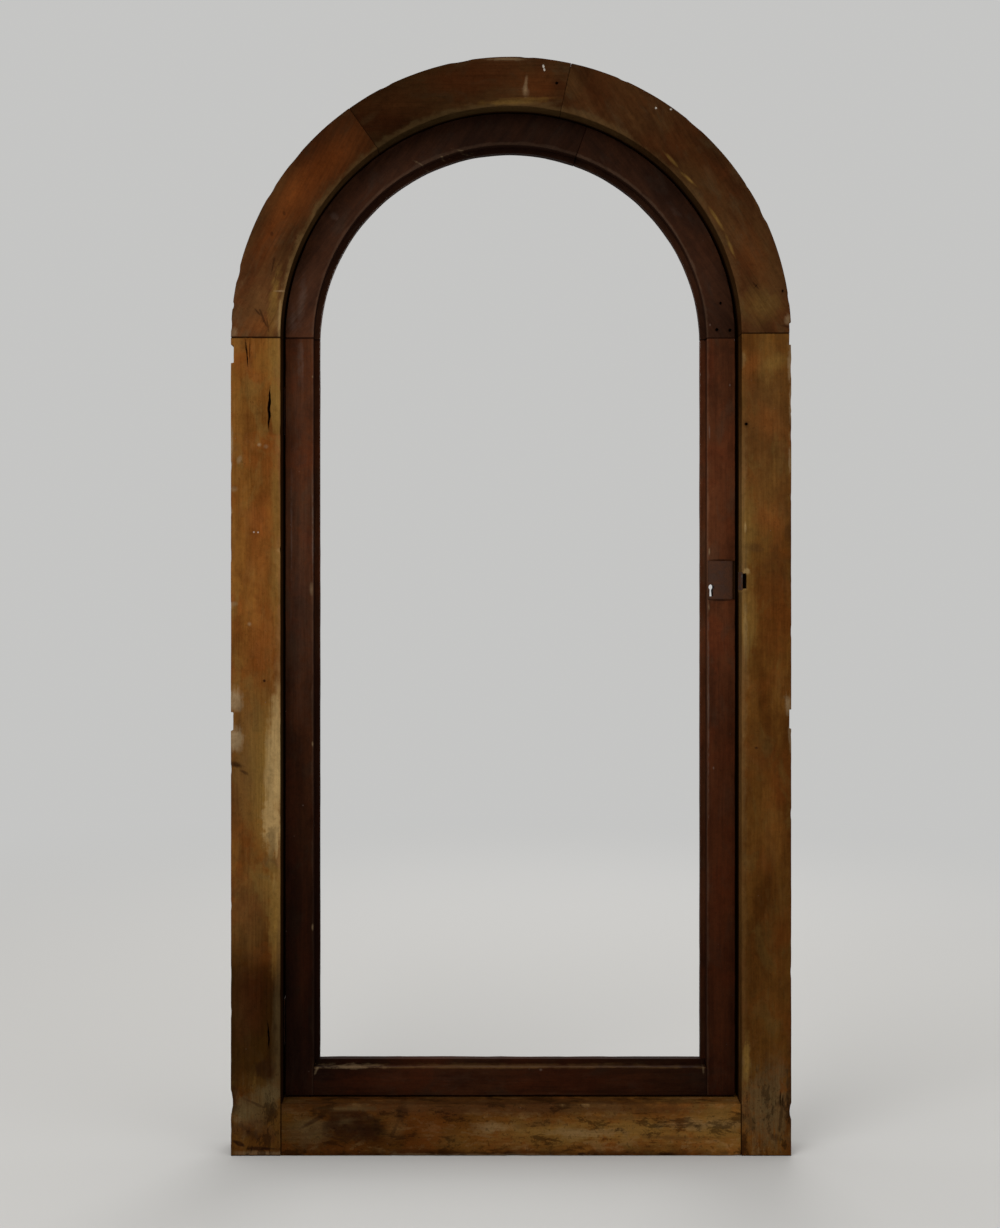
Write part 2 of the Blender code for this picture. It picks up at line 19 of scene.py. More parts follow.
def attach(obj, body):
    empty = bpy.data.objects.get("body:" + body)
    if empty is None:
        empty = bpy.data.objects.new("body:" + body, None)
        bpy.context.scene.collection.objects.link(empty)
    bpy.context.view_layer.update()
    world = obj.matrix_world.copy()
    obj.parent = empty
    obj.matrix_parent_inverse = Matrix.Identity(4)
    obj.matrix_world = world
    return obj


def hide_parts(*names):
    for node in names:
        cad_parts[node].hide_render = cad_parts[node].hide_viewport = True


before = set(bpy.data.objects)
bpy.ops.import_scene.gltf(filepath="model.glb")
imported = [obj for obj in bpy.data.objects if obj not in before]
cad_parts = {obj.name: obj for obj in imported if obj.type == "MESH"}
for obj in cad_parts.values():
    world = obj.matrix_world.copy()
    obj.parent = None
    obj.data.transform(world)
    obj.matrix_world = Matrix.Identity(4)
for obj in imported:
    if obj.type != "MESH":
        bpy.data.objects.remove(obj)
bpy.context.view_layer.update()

log = logging.getLogger("door_surround")

Colour = tuple[float, float, float]
Point = tuple[float, float]
Number = Union["Value", float, int]
Shade = Union[Colour, bpy.types.NodeSocket]

# Sizes in metres, those of the solids. X is to the right, Y away from the camera and Z up.
SPRING_Z = 1.343
OUTER_RADIUS = 0.46
REVEAL_RADIUS = 0.378
HALF_DEPTH = 0.038
LEAF_X = -0.00075
LEAF_SPRING_Z = 1.34605
LEAF_FRONT_Y = -0.003
LEAF_REAR_Y = 0.037
LEAF_ARRIS = 0.32675
LEAF_FACE = 0.0555
REBATE_WIDTH = 0.0085
REBATE_FLOOR_Y = 0.017
HINGE_AXIS_X = -0.37625
HINGE_HEIGHTS = {"upper": 1.226, "lower": 0.207}
GAP = 0.0003
SKIN = 0.0002
PHOTO_HEIGHT = 1228


# Shader trees


class Value:
    """A number in a node tree that can be written in expressions."""

    def __init__(self, board: "Board", socket: bpy.types.NodeSocket) -> None:
        """Keeps the tree and the socket that carries the number."""
        self.board = board
        self.socket = socket

    def __add__(self, other: Number) -> "Value":
        """Sum."""
        return self.board.maths("ADD", self, other)

    __radd__ = __add__

    def __sub__(self, other: Number) -> "Value":
        """Difference."""
        return self.board.maths("SUBTRACT", self, other)

    def __rsub__(self, other: Number) -> "Value":
        """Difference, the other way round."""
        return self.board.maths("SUBTRACT", other, self)

    def __mul__(self, other: Number) -> "Value":
        """Product."""
        return self.board.maths("MULTIPLY", self, other)

    __rmul__ = __mul__

    def above(self, other: Number) -> "Value":
        """The larger of the two."""
        return self.board.maths("MAXIMUM", self, other)

    def below(self, other: Number) -> "Value":
        """The smaller of the two."""
        return self.board.maths("MINIMUM", self, other)

    def eased(self, low: float, high: float) -> "Value":
        """Smooth step: 0 at low and 1 at high, which may be the smaller one.

        Args:
            low: the value that gives 0.
            high: the value that gives 1.

        Returns:
            A value from 0 to 1.
        """
        flip = low > high
        start, end = (high, low) if flip else (low, high)
        sockets = {"Value": self, "From Min": start, "From Max": end}
        sockets |= {"To Min": float(flip), "To Max": float(not flip)}
        node = self.board.node("ShaderNodeMapRange", {"interpolation_type": "SMOOTHSTEP"}, sockets)
        return Value(self.board, node.outputs["Result"])


class Board:
    """The node tree of one material."""

    def __init__(self, name: str) -> None:
        """Makes the material with its shader and output.

        Args:
            name: the material's name.
        """
        self.material = bpy.data.materials.new(name)
        self.material.use_nodes = True
        self.tree = self.material.node_tree
        self.shader = self.tree.nodes["Principled BSDF"]

    def node(self, kind: str, settings: dict, sockets: dict) -> bpy.types.Node:
        """Adds a node.

        Args:
            kind: the node's type.
            settings: its properties, set first. A ramp's "stops" are (place, colour) pairs.
            sockets: values or links, by the socket's name or number.

        Returns:
            The node.
        """
        node = self.tree.nodes.new(kind)
        for name, setting in settings.items():
            if name == "stops":
                ramp = node.color_ramp
                while len(ramp.elements) < len(setting):
                    ramp.elements.new(0.5)
                for element, (place, colour) in zip(ramp.elements, setting):
                    element.position = place
                    element.color = (*colour, 1.0)
            else:
                setattr(node, name, setting)
        for name, value in sockets.items():
            socket = node.inputs[name]
            if isinstance(value, Value):
                self.tree.links.new(value.socket, socket)
            elif isinstance(value, bpy.types.NodeSocket):
                self.tree.links.new(value, socket)
            elif isinstance(value, tuple) and socket.type == "RGBA":
                socket.default_value = (*value, 1.0)
            else:
                socket.default_value = value
        return node

    def maths(self, operation: str, first: Number, second: Number) -> Value:
        """One step of arithmetic on numbers."""
        node = self.node("ShaderNodeMath", {"operation": operation}, {0: first, 1: second})
        return Value(self, node.outputs[0])

    def places(self) -> bpy.types.NodeSocket:
        """The point that is shaded, in metres from the part's origin."""
        return self.node("ShaderNodeTexCoord", {}, {}).outputs["Object"]

    def split(self, vector: bpy.types.NodeSocket) -> tuple[Value, Value, Value]:
        """The three numbers of a vector."""
        node = self.node("ShaderNodeSeparateXYZ", {}, {0: vector})
        return tuple(Value(self, socket) for socket in node.outputs)

    def joined(self, x: Number, y: Number, z: Number) -> bpy.types.NodeSocket:
        """A vector of three numbers."""
        return self.node("ShaderNodeCombineXYZ", {}, {0: x, 1: y, 2: z}).outputs[0]

    def scaled(self, vector: bpy.types.NodeSocket, factors: Colour) -> bpy.types.NodeSocket:
        """A vector stretched by a factor along each axis."""
        node = self.node("ShaderNodeVectorMath", {"operation": "MULTIPLY"}, {0: vector, 1: factors})
        return node.outputs[0]

    def length(self, vector: bpy.types.NodeSocket) -> Value:
        """The length of a vector."""
        node = self.node("ShaderNodeVectorMath", {"operation": "LENGTH"}, {0: vector})
        return Value(self, node.outputs["Value"])

    def noise(
        self, vector: bpy.types.NodeSocket, scale: float, detail: float,
        rough: float = 0.55, twist: float = 0.0,
    ) -> Value:
        """Cloudy noise, from 0 to 1 and mostly near 0.5.

        Args:
            vector: where it is read.
            scale: how fine it is, per metre of the vector.
            detail: how many finer layers it has.
            rough: how strong those layers are.
            twist: how much it is distorted.

        Returns:
            The noise.
        """
        sockets = {"Vector": vector, "Scale": scale, "Detail": detail}
        sockets |= {"Roughness": rough, "Distortion": twist}
        return Value(self, self.node("ShaderNodeTexNoise", {}, sockets).outputs["Fac"])

    def specks(self, vector: bpy.types.NodeSocket, scale: float, size: float) -> Value:
        """Scattered dots, 1 in their middles.

        Args:
            vector: where they are read.
            scale: how many there are per metre.
            size: how large they are, as a share of their spacing.

        Returns:
            The mask.
        """
        node = self.node("ShaderNodeTexVoronoi", {"feature": "F1"}, {"Vector": vector, "Scale": scale})
        return Value(self, node.outputs["Distance"]).eased(size, size * 0.35)

    def mixed(self, share: Number, first: Shade, second: Shade, blend: str = "MIX") -> bpy.types.NodeSocket:
        """Two colours mixed.

        Args:
            share: how much of the second there is.
            first: the colour under it.
            second: the colour laid on.
            blend: how it is laid on.

        Returns:
            The colour.
        """
        settings = {"data_type": "RGBA", "blend_type": blend}
        return self.node("ShaderNodeMix", settings, {0: share, 6: first, 7: second}).outputs[2]

    def painted(self, name: str) -> Value:
        """A number that the mesh carries at its points."""
        return Value(self, self.node("ShaderNodeAttribute", {"attribute_name": name}, {}).outputs["Fac"])

    def finish(
        self, colour: bpy.types.NodeSocket, rough: Number, height: Value, relief: float, specular: float,
        metallic: Number = 0.0,
    ) -> bpy.types.Material:
        """Feeds the shader.

        Args:
            colour: base colour.
            rough: roughness.
            height: surface height, from 0 to 1.
            relief: what that height is in metres.
            specular: strength of the plain reflection.
            metallic: how metallic it is.

        Returns:
            The material.
        """
        bump = self.node("ShaderNodeBump", {}, {"Strength": 1.0, "Distance": relief, "Height": height})
        feeds = {"Base Color": colour, "Roughness": rough, "Normal": bump.outputs[0], "Metallic": metallic}
        for name, value in feeds.items():
            socket = self.shader.inputs[name]
            if isinstance(value, float):
                socket.default_value = value
            else:
                self.tree.links.new(value.socket if isinstance(value, Value) else value, socket)
        self.shader.inputs["Specular IOR Level"].default_value = specular
        return self.material


# Finishes


class Tone(Enum):
    """Colours that marks are made in."""

    BARE = (0.36, 0.235, 0.095)
    SCUFF = (0.27, 0.185, 0.098)
    HONEY = (0.195, 0.108, 0.025)
    AMBER = (0.21, 0.06, 0.0115)
    RUSSET = (0.125, 0.031, 0.0058)
    EMBER = (0.04, 0.0095, 0.0025)
    OLIVE = (0.087, 0.058, 0.024)
    # Dark of soot and dirt, also laid on as painted shadow lines and patches.
    SOOT_AND_SHADE = (0.018, 0.0065, 0.0028)
    BROWN = (0.06, 0.024, 0.008)
    PAINT = (0.62, 0.58, 0.5)
    WINE = (0.062, 0.0125, 0.0028)
    TAN = (0.12, 0.062, 0.019)
    DUSK = (0.058, 0.034, 0.022)
    # Grey of dust, also laid on as painted sheen in thin lines along the leaf's arrises.
    DUST_AND_SHEEN = (0.16, 0.11, 0.085)


@dataclass(frozen=True)
class Mark:
    """A blotch, stain, scuff, rubbed patch, painted shadow, highlight or sheen with a ragged edge, on the face
    seen from -Y.
    """

    tone: Tone
    x: float
    z: float
    width: float
    height: float
    strength: float = 0.8
    turn: float = 0.0
    ragged: float = 1.0
    soft: float = 0.8

    DEPTH = 0.05


@dataclass(frozen=True)
class Level:
    """How bright a timber is at one place along its grain, partly its own tone and partly painted light and
    shade, how rubbed its arris and how much painted shade its recess takes.
    """

    place: float
    tone: float
    rim: float = 0.0
    recess_shade: float = 1.0


@dataclass(frozen=True)
class Lay:
    """Which way a timber's grain runs, in degrees from level, and where its pith was."""

    degrees: float
    pith: float
    seed: float

    def set_out(self, levels: Sequence[Level], zero: Point) -> tuple[Level, ...]:
        """Levels set out from a point of the timber, moved to the grain's own zero.

        Args:
            levels: the levels.
            zero: X and Z that their places are set out from.

        Returns:
            The levels as the finish reads them.
        """
        turn = radians(self.degrees)
        shift = zero[0] * cos(turn) + zero[1] * sin(turn)
        return tuple(replace(level, place=level.place + shift) for level in levels)


@dataclass(frozen=True)
class Fibre:
    """Where the shaded point lies in one timber, and the noises that follow its grain."""

    place: bpy.types.NodeSocket
    x: Value
    y: Value
    z: Value
    along: Value
    seeded: bpy.types.NodeSocket
    broad: Value
    streaks: Value
    fine: Value
    pores: Value
    rings: Value
    cloud: Value
    patch: Value
    grit: Value
    rag: Value


@dataclass(frozen=True)
class TimberFinish:
    """A wood with its stain, its grain and its wear, and the light and shade painted into its brightness,
    reveals and rebates.

    Rates are a noise's periods per metre: along the grain, across it and through the timber.
    """

    body: Colour
    deep: Colour
    warm: Colour
    dull: Colour
    worn: Colour
    # Colour of the painted shade in reveals and rebates, also laid on as grime near the foot.
    hollow: Colour
    grain: float
    mottle: float
    wear: float
    grime: float
    rough: float
    specular: float
    arris: tuple[float, float]
    rim_width: float
    # Depths past which a reveal takes its painted shade in full.
    recess: tuple[float, float]

    BRIGHTEST = 1.6
    SEED_STEPS = (3.7, 1.0, 1.3)
    BOW_RATES = (2.2, 7.0, 7.0)
    BOW = 0.016
    PITH_Y = 0.055
    RING_RATE = 260.0
    RING_DRIFT = 2.5
    BROAD_RATES = (6.0, 19.0, 19.0)
    STREAK_RATES = (6.0, 70.0, 70.0)
    FINE_RATES = (14.0, 240.0, 240.0)
    PORE_RATES = (34.0, 1100.0, 1100.0)
    PATCH_RATES = (14.0, 30.0, 30.0)
    BLOT_RATES = (17.0, 40.0, 40.0)
    CLOUD_RATE = 11.0
    RAG_RATE = 62.0
    GRIT_RATE = 150.0
    SPECK_RATE = 46.0
    SPECK_SIZE = 0.062
    LEVEL_WAVER = 0.08
    FACE_FADE = (0.004, -0.001)
    FOOT_FADE = (0.2, 0.07)
    RELIEF = 0.0009

    def fibre(self, board: Board, lay: Lay) -> Fibre:
        """Reads one timber's noises.

        Args:
            board: the material's tree.
            lay: the timber's grain.

        Returns:
            The noises.
        """
        place = board.places()
        x, y, z = board.split(place)
        turn = radians(lay.degrees)
        along = x * cos(turn) + z * sin(turn)
        across = z * cos(turn) - x * sin(turn)
        far_along, far_across, far_through = (lay.seed * step for step in self.SEED_STEPS)
        seeded = board.joined(along + far_along, across + far_across, y + far_through)
        bend = board.noise(board.scaled(seeded, self.BOW_RATES), 1.0, 2.0)
        bent = across + (bend - 0.5) * self.BOW
        grain = board.joined(along + far_along, bent, y)
        ring = board.length(board.joined(0.0, bent - lay.pith, y - self.PITH_Y))
        ring_place = board.joined(ring * self.RING_RATE, along * self.RING_DRIFT, 0.0)
        return Fibre(
            place, x, y, z, along, seeded,
            broad=board.noise(board.scaled(grain, self.BROAD_RATES), 1.0, 5.0, 0.6, 0.3),
            streaks=board.noise(board.scaled(grain, self.STREAK_RATES), 1.0, 4.0, 0.62),
            fine=board.noise(board.scaled(grain, self.FINE_RATES), 1.0, 3.0, 0.6),
            pores=board.noise(board.scaled(grain, self.PORE_RATES), 1.0, 2.0, 0.6),
            rings=board.noise(ring_place, 1.0, 3.0, 0.6),
            cloud=board.noise(seeded, self.CLOUD_RATE, 5.0, 0.6, 0.4),
            patch=board.noise(board.scaled(seeded, self.PATCH_RATES), 1.0, 4.0, 0.62, 0.6),
            grit=board.noise(seeded, self.GRIT_RATE, 4.0, 0.65),
            rag=board.noise(seeded, self.RAG_RATE, 4.0, 0.62),
        )

    def levelled(self, board: Board, fibre: Fibre, levels: Sequence[Level]) -> tuple[Value, Value, Value]:
        """Reads the levels at the shaded point.

        Args:
            board: the material's tree.
            fibre: the timber's noises.
            levels: how it changes along the grain, from low to high.

        Returns:
            How bright it is, partly painted light and shade, how rubbed its inner arris is and how much
            painted shade its recess takes.
        """
        low, length = levels[0].place, levels[-1].place - levels[0].place
        stops = [
            ((level.place - low) / length, (level.tone / self.BRIGHTEST, level.rim, level.recess_shade))
            for level in levels
        ]
        reach = (fibre.along + (fibre.cloud - 0.5) * self.LEVEL_WAVER - low) * (1.0 / length)
        ramp = board.node("ShaderNodeValToRGB", {"stops": stops}, {"Fac": reach})
        tone, rim, recess_shade = board.split(ramp.outputs["Color"])
        return tone * self.BRIGHTEST, rim, recess_shade

    def stained(self, board: Board, fibre: Fibre, toned: bpy.types.NodeSocket) -> bpy.types.NodeSocket:
        """The wood's own colour, cloudy and patchy, times its brightness, which carries painted light and
        shade.

        Args:
            board: the material's tree.
            fibre: the timber's noises.
            toned: how bright it is, with its painted light and shade, as a grey.

        Returns:
            The colour.
        """
        colour = board.mixed(fibre.broad.eased(0.34, 0.62), self.deep, self.body)
        colour = board.mixed(fibre.cloud.eased(0.46, 0.64) * (0.85 * self.mottle), colour, self.warm)
        colour = board.mixed(fibre.patch.eased(0.52, 0.68) * (0.75 * self.mottle), colour, self.dull)
        colour = board.mixed(fibre.patch.eased(0.45, 0.3) * (0.6 * self.mottle), colour, self.deep)
        return board.mixed(1.0, colour, toned, "MULTIPLY")

    def aged(
        self, board: Board, fibre: Fibre, colour: bpy.types.NodeSocket, faded: bpy.types.NodeSocket,
        rim: Value, marks: Sequence[Mark],
    ) -> bpy.types.NodeSocket:
        """Lays wear, grime and marks on the wood.

        Args:
            board: the material's tree.
            fibre: the timber's noises.
            colour: the stained wood.
            faded: its colour where it is worn.
            rim: how rubbed the inner arris is.
            marks: what it has suffered, and painted shadows, highlights and sheen, the last on top.

        Returns:
            The colour.
        """
        centre_x, radius = self.arris
        rise = (fibre.z - SPRING_Z).above(0.0)
        rim_gap = board.length(board.joined(fibre.x - centre_x, 0.0, rise)) - radius
        streaky = (fibre.fine - 0.5) * 0.5 + (fibre.rag - 0.5) * 0.9
        band = (rim_gap * (1.0 / self.rim_width) - (fibre.patch - 0.48) * 4.0 - streaky * 1.8).eased(1.7, 0.3)
        colour = board.mixed(band * rim * fibre.y.eased(*self.FACE_FADE), colour, faded)
        low_down = fibre.z.eased(*self.FOOT_FADE) * 0.85 + 0.15
        blot = board.noise(board.scaled(fibre.seeded, self.BLOT_RATES), 1.0, 8.0, 0.74, 0.25)
        colour = board.mixed(blot.eased(0.53, 0.6) * low_down * (self.grime * 0.7), colour, faded)
        for mark in marks:
            colour = self.marked(board, fibre, colour, mark)
        colour = board.mixed(blot.eased(0.47, 0.4) * low_down * self.grime, colour, self.hollow)
        dots = fibre.grit.eased(0.56, 0.63) * low_down * (self.grime * 0.5)
        colour = board.mixed(dots, colour, self.hollow)
        rubbed = (board.painted("worn") * 0.8 + streaky * 1.1 + (fibre.patch - 0.5) * 1.6).eased(0.55, 1.05)
        return board.mixed(rubbed * self.wear, colour, faded)

    def grained(self, board: Board, fibre: Fibre, colour: bpy.types.NodeSocket) -> bpy.types.NodeSocket:
        """Darkens a colour by rings, streaks, pores and grit.

        Args:
            board: the material's tree.
            fibre: the timber's noises.
            colour: the colour.

        Returns:
            The colour with its grain.
        """
        lines = fibre.rings.eased(0.38, 0.64) * 0.2 + fibre.streaks.eased(0.4, 0.66) * 0.22
        threads = fibre.pores.eased(0.55, 0.72) * 0.26 + fibre.fine.eased(0.45, 0.68) * 0.22
        uneven = (fibre.grit - 0.5) * 0.7 + (fibre.rag - 0.5) * 0.5 + 1.0
        texture = (1.0 - lines * self.grain) * (1.0 - threads * self.grain)
        texture = texture * uneven * (1.0 - fibre.grit.eased(0.6, 0.7) * 0.25)
        return board.mixed(1.0, colour, board.joined(texture, texture, texture), "MULTIPLY")

    def make(
        self, name: str, lay: Lay, marks: Sequence[Mark], levels: Sequence[Level]
    ) -> bpy.types.Material:
        """Builds the material of one timber.

        Args:
            name: the timber's name.
            lay: its grain.
            marks: what it has suffered, and painted shadows, highlights and sheen, the last on top.
            levels: how it changes along the grain, from low to high.

        Returns:
            The material.
        """
        board = Board(name + "_wood")
        fibre = self.fibre(board, lay)
        # Brightness along the grain is partly painted light and shade.
        tone, rim, recess_shade = self.levelled(board, fibre, levels)
        toned = board.joined(tone, tone, tone)
        faded = board.mixed(1.0, self.worn, toned, "MULTIPLY")
        colour = self.aged(board, fibre, self.stained(board, fibre, toned), faded, rim, marks)
        colour = self.grained(board, fibre, colour)
        # Painted shade on reveal and rebate faces, as strong as the levels give and full deep in the reveal;
        # dark joints at the timbers' ends go the same way.
        reveal_shade = recess_shade.above(fibre.y.eased(*self.recess))
        recess_shade_mask = (board.painted("hollow") + reveal_shade - 1.0).above(0.0).below(1.0)
        colour = board.mixed(recess_shade_mask * 0.93, colour, self.hollow)
        specks = board.specks(fibre.seeded, self.SPECK_RATE, self.SPECK_SIZE) * fibre.rag.eased(0.5, 0.6)
        colour = board.mixed(specks * 0.35, colour, Tone.DUST_AND_SHEEN.value)

        height = fibre.fine * 0.3 + fibre.pores * 0.25 + fibre.rings * 0.2
        height = height + fibre.grit * 0.45 - specks * 0.3
        rough = (fibre.cloud - 0.5) * 0.3 + recess_shade_mask * 0.4 + (fibre.grit - 0.5) * 0.2 + self.rough
        return board.finish(colour, rough, height, self.RELIEF, self.specular)

    @staticmethod
    def marked(board: Board, fibre: Fibre, under: bpy.types.NodeSocket, mark: Mark) -> bpy.types.NodeSocket:
        """Lays one mark on a colour.

        Args:
            board: the material's tree.
            fibre: the timber's noises, which break the mark's edge.
            under: the colour so far.
            mark: the mark.

        Returns:
            The colour with the mark.
        """
        mapping = board.node(
            "ShaderNodeMapping",
            {"vector_type": "TEXTURE"},
            {
                "Vector": fibre.place,
                "Location": (mark.x, -HALF_DEPTH, mark.z),
                "Rotation": (0.0, radians(mark.turn), 0.0),
                "Scale": (mark.width / 2, Mark.DEPTH, mark.height / 2),
            },
        )
        broken = (fibre.rag - 0.5) * 2.0 + (fibre.fine - 0.5) * 0.7
        reach = board.length(mapping.outputs[0]) + broken * mark.ragged
        edge = reach.eased(1.0 + mark.soft * 0.7, 1.0 - mark.soft)
        uneven = (fibre.rag - 0.5) * 1.6 + 1.0
        return board.mixed(edge * uneven * mark.strength, under, mark.tone.value)


@dataclass(frozen=True)
class CutShadeFinish:
    """The inside of holes, splits and mortises, painted dark as shade."""

    # Painted shade colour of the cut faces.
    wood: Colour = (0.03, 0.0125, 0.005)
    rough: float = 0.85

    def make(self, name: str) -> bpy.types.Material:
        """Builds the material.

        Args:
            name: the timber's name.

        Returns:
            The material.
        """
        board = Board(name + "_cut")
        grit = board.noise(board.places(), 180.0, 4.0, 0.6)
        shade = (grit - 0.5) * 0.9 + 1.0
        colour = board.mixed(1.0, self.wood, board.joined(shade, shade, shade), "MULTIPLY")
        return board.finish(colour, self.rough, grit, 0.0004, 0.0)


@dataclass(frozen=True)
class IronFinish:
    """Rusted plate, nearly all of it brown."""

    plate: Colour = (0.04, 0.02, 0.012)
    rust: Colour = (0.085, 0.03, 0.011)
    bright: Colour = (0.11, 0.095, 0.085)
    rough: float = 0.62

    def make(self, name: str, clean: float) -> bpy.types.Material:
        """Builds the material.

        Args:
            name: the piece's name.
            clean: how much bare iron shows.

        Returns:
            The material.
        """
        board = Board(name + "_iron")
        place = board.places()
        cloud = board.noise(place, 70.0, 5.0, 0.62, 0.5)
        grit = board.noise(place, 620.0, 4.0, 0.65)
        pits = board.specks(place, 420.0, 0.3)
        colour = board.mixed(cloud.eased(0.4, 0.62), self.plate, self.rust)
        bare = (cloud + (grit - 0.5) * 0.6).eased(0.46, 0.34) * clean
        colour = board.mixed(bare, colour, self.bright)
        colour = board.mixed(pits * 0.5, colour, Tone.SOOT_AND_SHADE.value)
        shade = (grit - 0.5) * 0.6 + 1.0
        colour = board.mixed(1.0, colour, board.joined(shade, shade, shade), "MULTIPLY")
        height = cloud * 0.5 + grit * 0.5 - pits * 0.4
        rough = (grit - 0.5) * 0.3 + self.rough - bare * 0.15
        return board.finish(colour, rough, height, 0.0004, 0.12, bare * 0.8)


# Shapes


class Wander:
    """Smooth random variation, the same on every run."""

    SIZE = 256
    LAYER_STEPS = (17.3, 5.1)

    def __init__(self, seed: int) -> None:
        """Fills a table of random heights.

        Args:
            seed: chooses the table.
        """
        self.table = np.random.default_rng(seed).uniform(-1.0, 1.0, (self.SIZE, self.SIZE))

    def layer(self, first: np.ndarray, second: np.ndarray) -> np.ndarray:
        """One layer of noise.

        Args:
            first: one coordinate, in periods.
            second: the other.

        Returns:
            The noise, from -1 to 1.
        """
        low_a, low_b = np.floor(first).astype(int), np.floor(second).astype(int)
        part_a, part_b = first - low_a, second - low_b
        part_a, part_b = part_a**2 * (3 - 2 * part_a), part_b**2 * (3 - 2 * part_b)
        a, b, size = low_a % self.SIZE, low_b % self.SIZE, self.SIZE
        after_a, after_b = (a + 1) % size, (b + 1) % size
        near = self.table[a, b] * (1 - part_a) + self.table[after_a, b] * part_a
        far = self.table[a, after_b] * (1 - part_a) + self.table[after_a, after_b] * part_a
        return near * (1 - part_b) + far * part_b

    def at(self, first: np.ndarray, second: Union[np.ndarray, float], layers: int = 3) -> np.ndarray:
        """Layered noise, from about -1 to 1.

        Args:
            first: one coordinate, in periods of the coarsest layer.
            second: the other.
            layers: how many layers, each twice as fine as the last.

        Returns:
            The noise, in the shape of the two coordinates together.
        """
        first, second = np.broadcast_arrays(np.asarray(first, float), np.asarray(second, float))
        total = np.zeros(first.shape)
        step_a, step_b = self.LAYER_STEPS
        for step in range(layers):
            total += self.layer(first * 2**step + step_a * step, second * 2**step + step_b * step) * 0.5**step
        return total / (2 - 0.5 ** (layers - 1))


@dataclass(frozen=True)
class Corner:
    """A corner of a section: its place across and through the timber, and how it is rounded and chipped."""

    across: float
    depth: float
    radius: float
    chips: float = 0.0
    # Share of painted shade on the side after this corner.
    shaded_after: float = 0.0


class Section:
    """The outline across a timber, as a ring of points crowded near its corners."""

    STEPS = (0.0, 0.0006, 0.0012, 0.002, 0.003, 0.0046, 0.007, 0.011)
    PITCH = 0.009
    CLEAR_OF_MIDDLE = 0.0004
    SHARP = 0.0012
    ROUNDED = 0.003
    DENTED = 0.0016

    def __init__(self, corners: Sequence[Corner]) -> None:
        """Lays the points out round the corners.

        Args:
            corners: the corners in order.
        """
        self.corners = corners
        spots = np.array([(corner.across, corner.depth) for corner in corners])
        onward = np.roll(spots, -1, axis=0) - spots
        lengths = np.hypot(onward[:, 0], onward[:, 1])
        self.next_way = onward / lengths[:, None]
        self.back_way = -np.roll(self.next_way, 1, axis=0)
        turn = np.sum(spots[:, 0] * np.roll(spots[:, 1], -1) - np.roll(spots[:, 0], -1) * spots[:, 1])
        sense = 1.0 if turn > 0 else -1.0
        owner, ahead, behind, hollow, normal = [], [], [], [], []
        for index, length in enumerate(lengths):
            inward = np.array([-self.next_way[index][1], self.next_way[index][0]]) * sense
            after = (index + 1) % len(corners)
            for offset in self.offsets(length):
                first_half = offset < length / 2
                owner.append(index if first_half else after)
                ahead.append(offset if first_half else 0.0)
                behind.append(0.0 if first_half else length - offset)
                hollow.append(corners[index].shaded_after if offset > 0 else 0.0)
                normal.append(inward)
        self.owner = np.array(owner)
        self.ahead, self.behind = np.array(ahead), np.array(behind)
        self.hollow = np.array(hollow)
        self.inward = np.array(normal)
        corner_points = (self.ahead == 0) & (self.behind == 0)
        blunt = (self.inward + np.roll(self.inward, 1, axis=0)) / 2
        self.inward[corner_points] = blunt[corner_points]
        self.spots = spots
        self.flat = np.maximum(self.ahead, self.behind)

    def offsets(self, length: float) -> list[float]:
        """Where the points lie along one side.

        Args:
            length: the side's length.

        Returns:
            Distances from its first corner, without its last.
        """
        near = [step for step in self.STEPS if step < length / 2 - self.CLEAR_OF_MIDDLE]
        far = [length - step for step in reversed(near) if step > 0]
        space = length - near[-1] - (length - far[0] if far else 0)
        count = max(1, round(space / self.PITCH))
        middle = [near[-1] + space * step / count for step in range(1, count)]
        return near + middle + far

    def shaped(self, radii: np.ndarray, sunk: np.ndarray) -> tuple[np.ndarray, np.ndarray, np.ndarray]:
        """The outline at each station.

        Args:
            radii: rounding of each corner at each station.
            sunk: how far each point is pressed into the wood at each station.

        Returns:
            Across and depth of each point at each station, and how much is worn off there.
        """
        radius = radii[:, self.owner]
        safe = np.maximum(radius, 1e-6)
        ahead, behind = self.ahead / safe, self.behind / safe
        reach = np.hypot(ahead - 1, behind - 1)
        inside = (ahead < 1) & (behind < 1) & (radius > 0)
        new_ahead = np.where(inside, safe * (1 + (ahead - 1) / np.maximum(reach, 1e-9)), self.ahead)
        new_behind = np.where(inside, safe * (1 + (behind - 1) / np.maximum(reach, 1e-9)), self.behind)
        loss = np.hypot(new_ahead - self.ahead, new_behind - self.behind)
        spots, onward, back = self.spots[self.owner], self.next_way[self.owner], self.back_way[self.owner]
        across, depth = (
            spots[:, way] + new_ahead * onward[:, way] + new_behind * back[:, way]
            + sunk * self.inward[:, way]
            for way in (0, 1)
        )
        zone = np.clip(1.3 - self.flat / safe * 0.6, 0, 1)
        worn = np.clip((radius - self.SHARP) / self.ROUNDED, 0, 1) * zone + np.clip(sunk / self.DENTED, 0, 0.6)
        return across, depth, np.where(loss > 0, np.maximum(worn, 0.25), worn)


class Track(Protocol):
    """The line that a timber follows."""

    length: float

    def place(self, along: np.ndarray, across: np.ndarray) -> tuple[np.ndarray, np.ndarray]:
        """X and Z of points, from how far along and how far across the timber they are."""


@dataclass(frozen=True)
class StraightTrack:
    """A straight timber. start is its inner edge's first point."""

    start: Point
    heading: Point
    outward: Point
    length: float

    def place(self, along: np.ndarray, across: np.ndarray) -> tuple[np.ndarray, np.ndarray]:
        """X and Z of points.

        Args:
            along: distance from the start.
            across: distance outwards from the inner edge.

        Returns:
            X and Z.
        """
        x = self.start[0] + self.heading[0] * along + self.outward[0] * across
        z = self.start[1] + self.heading[1] * along + self.outward[1] * across
        return x, z


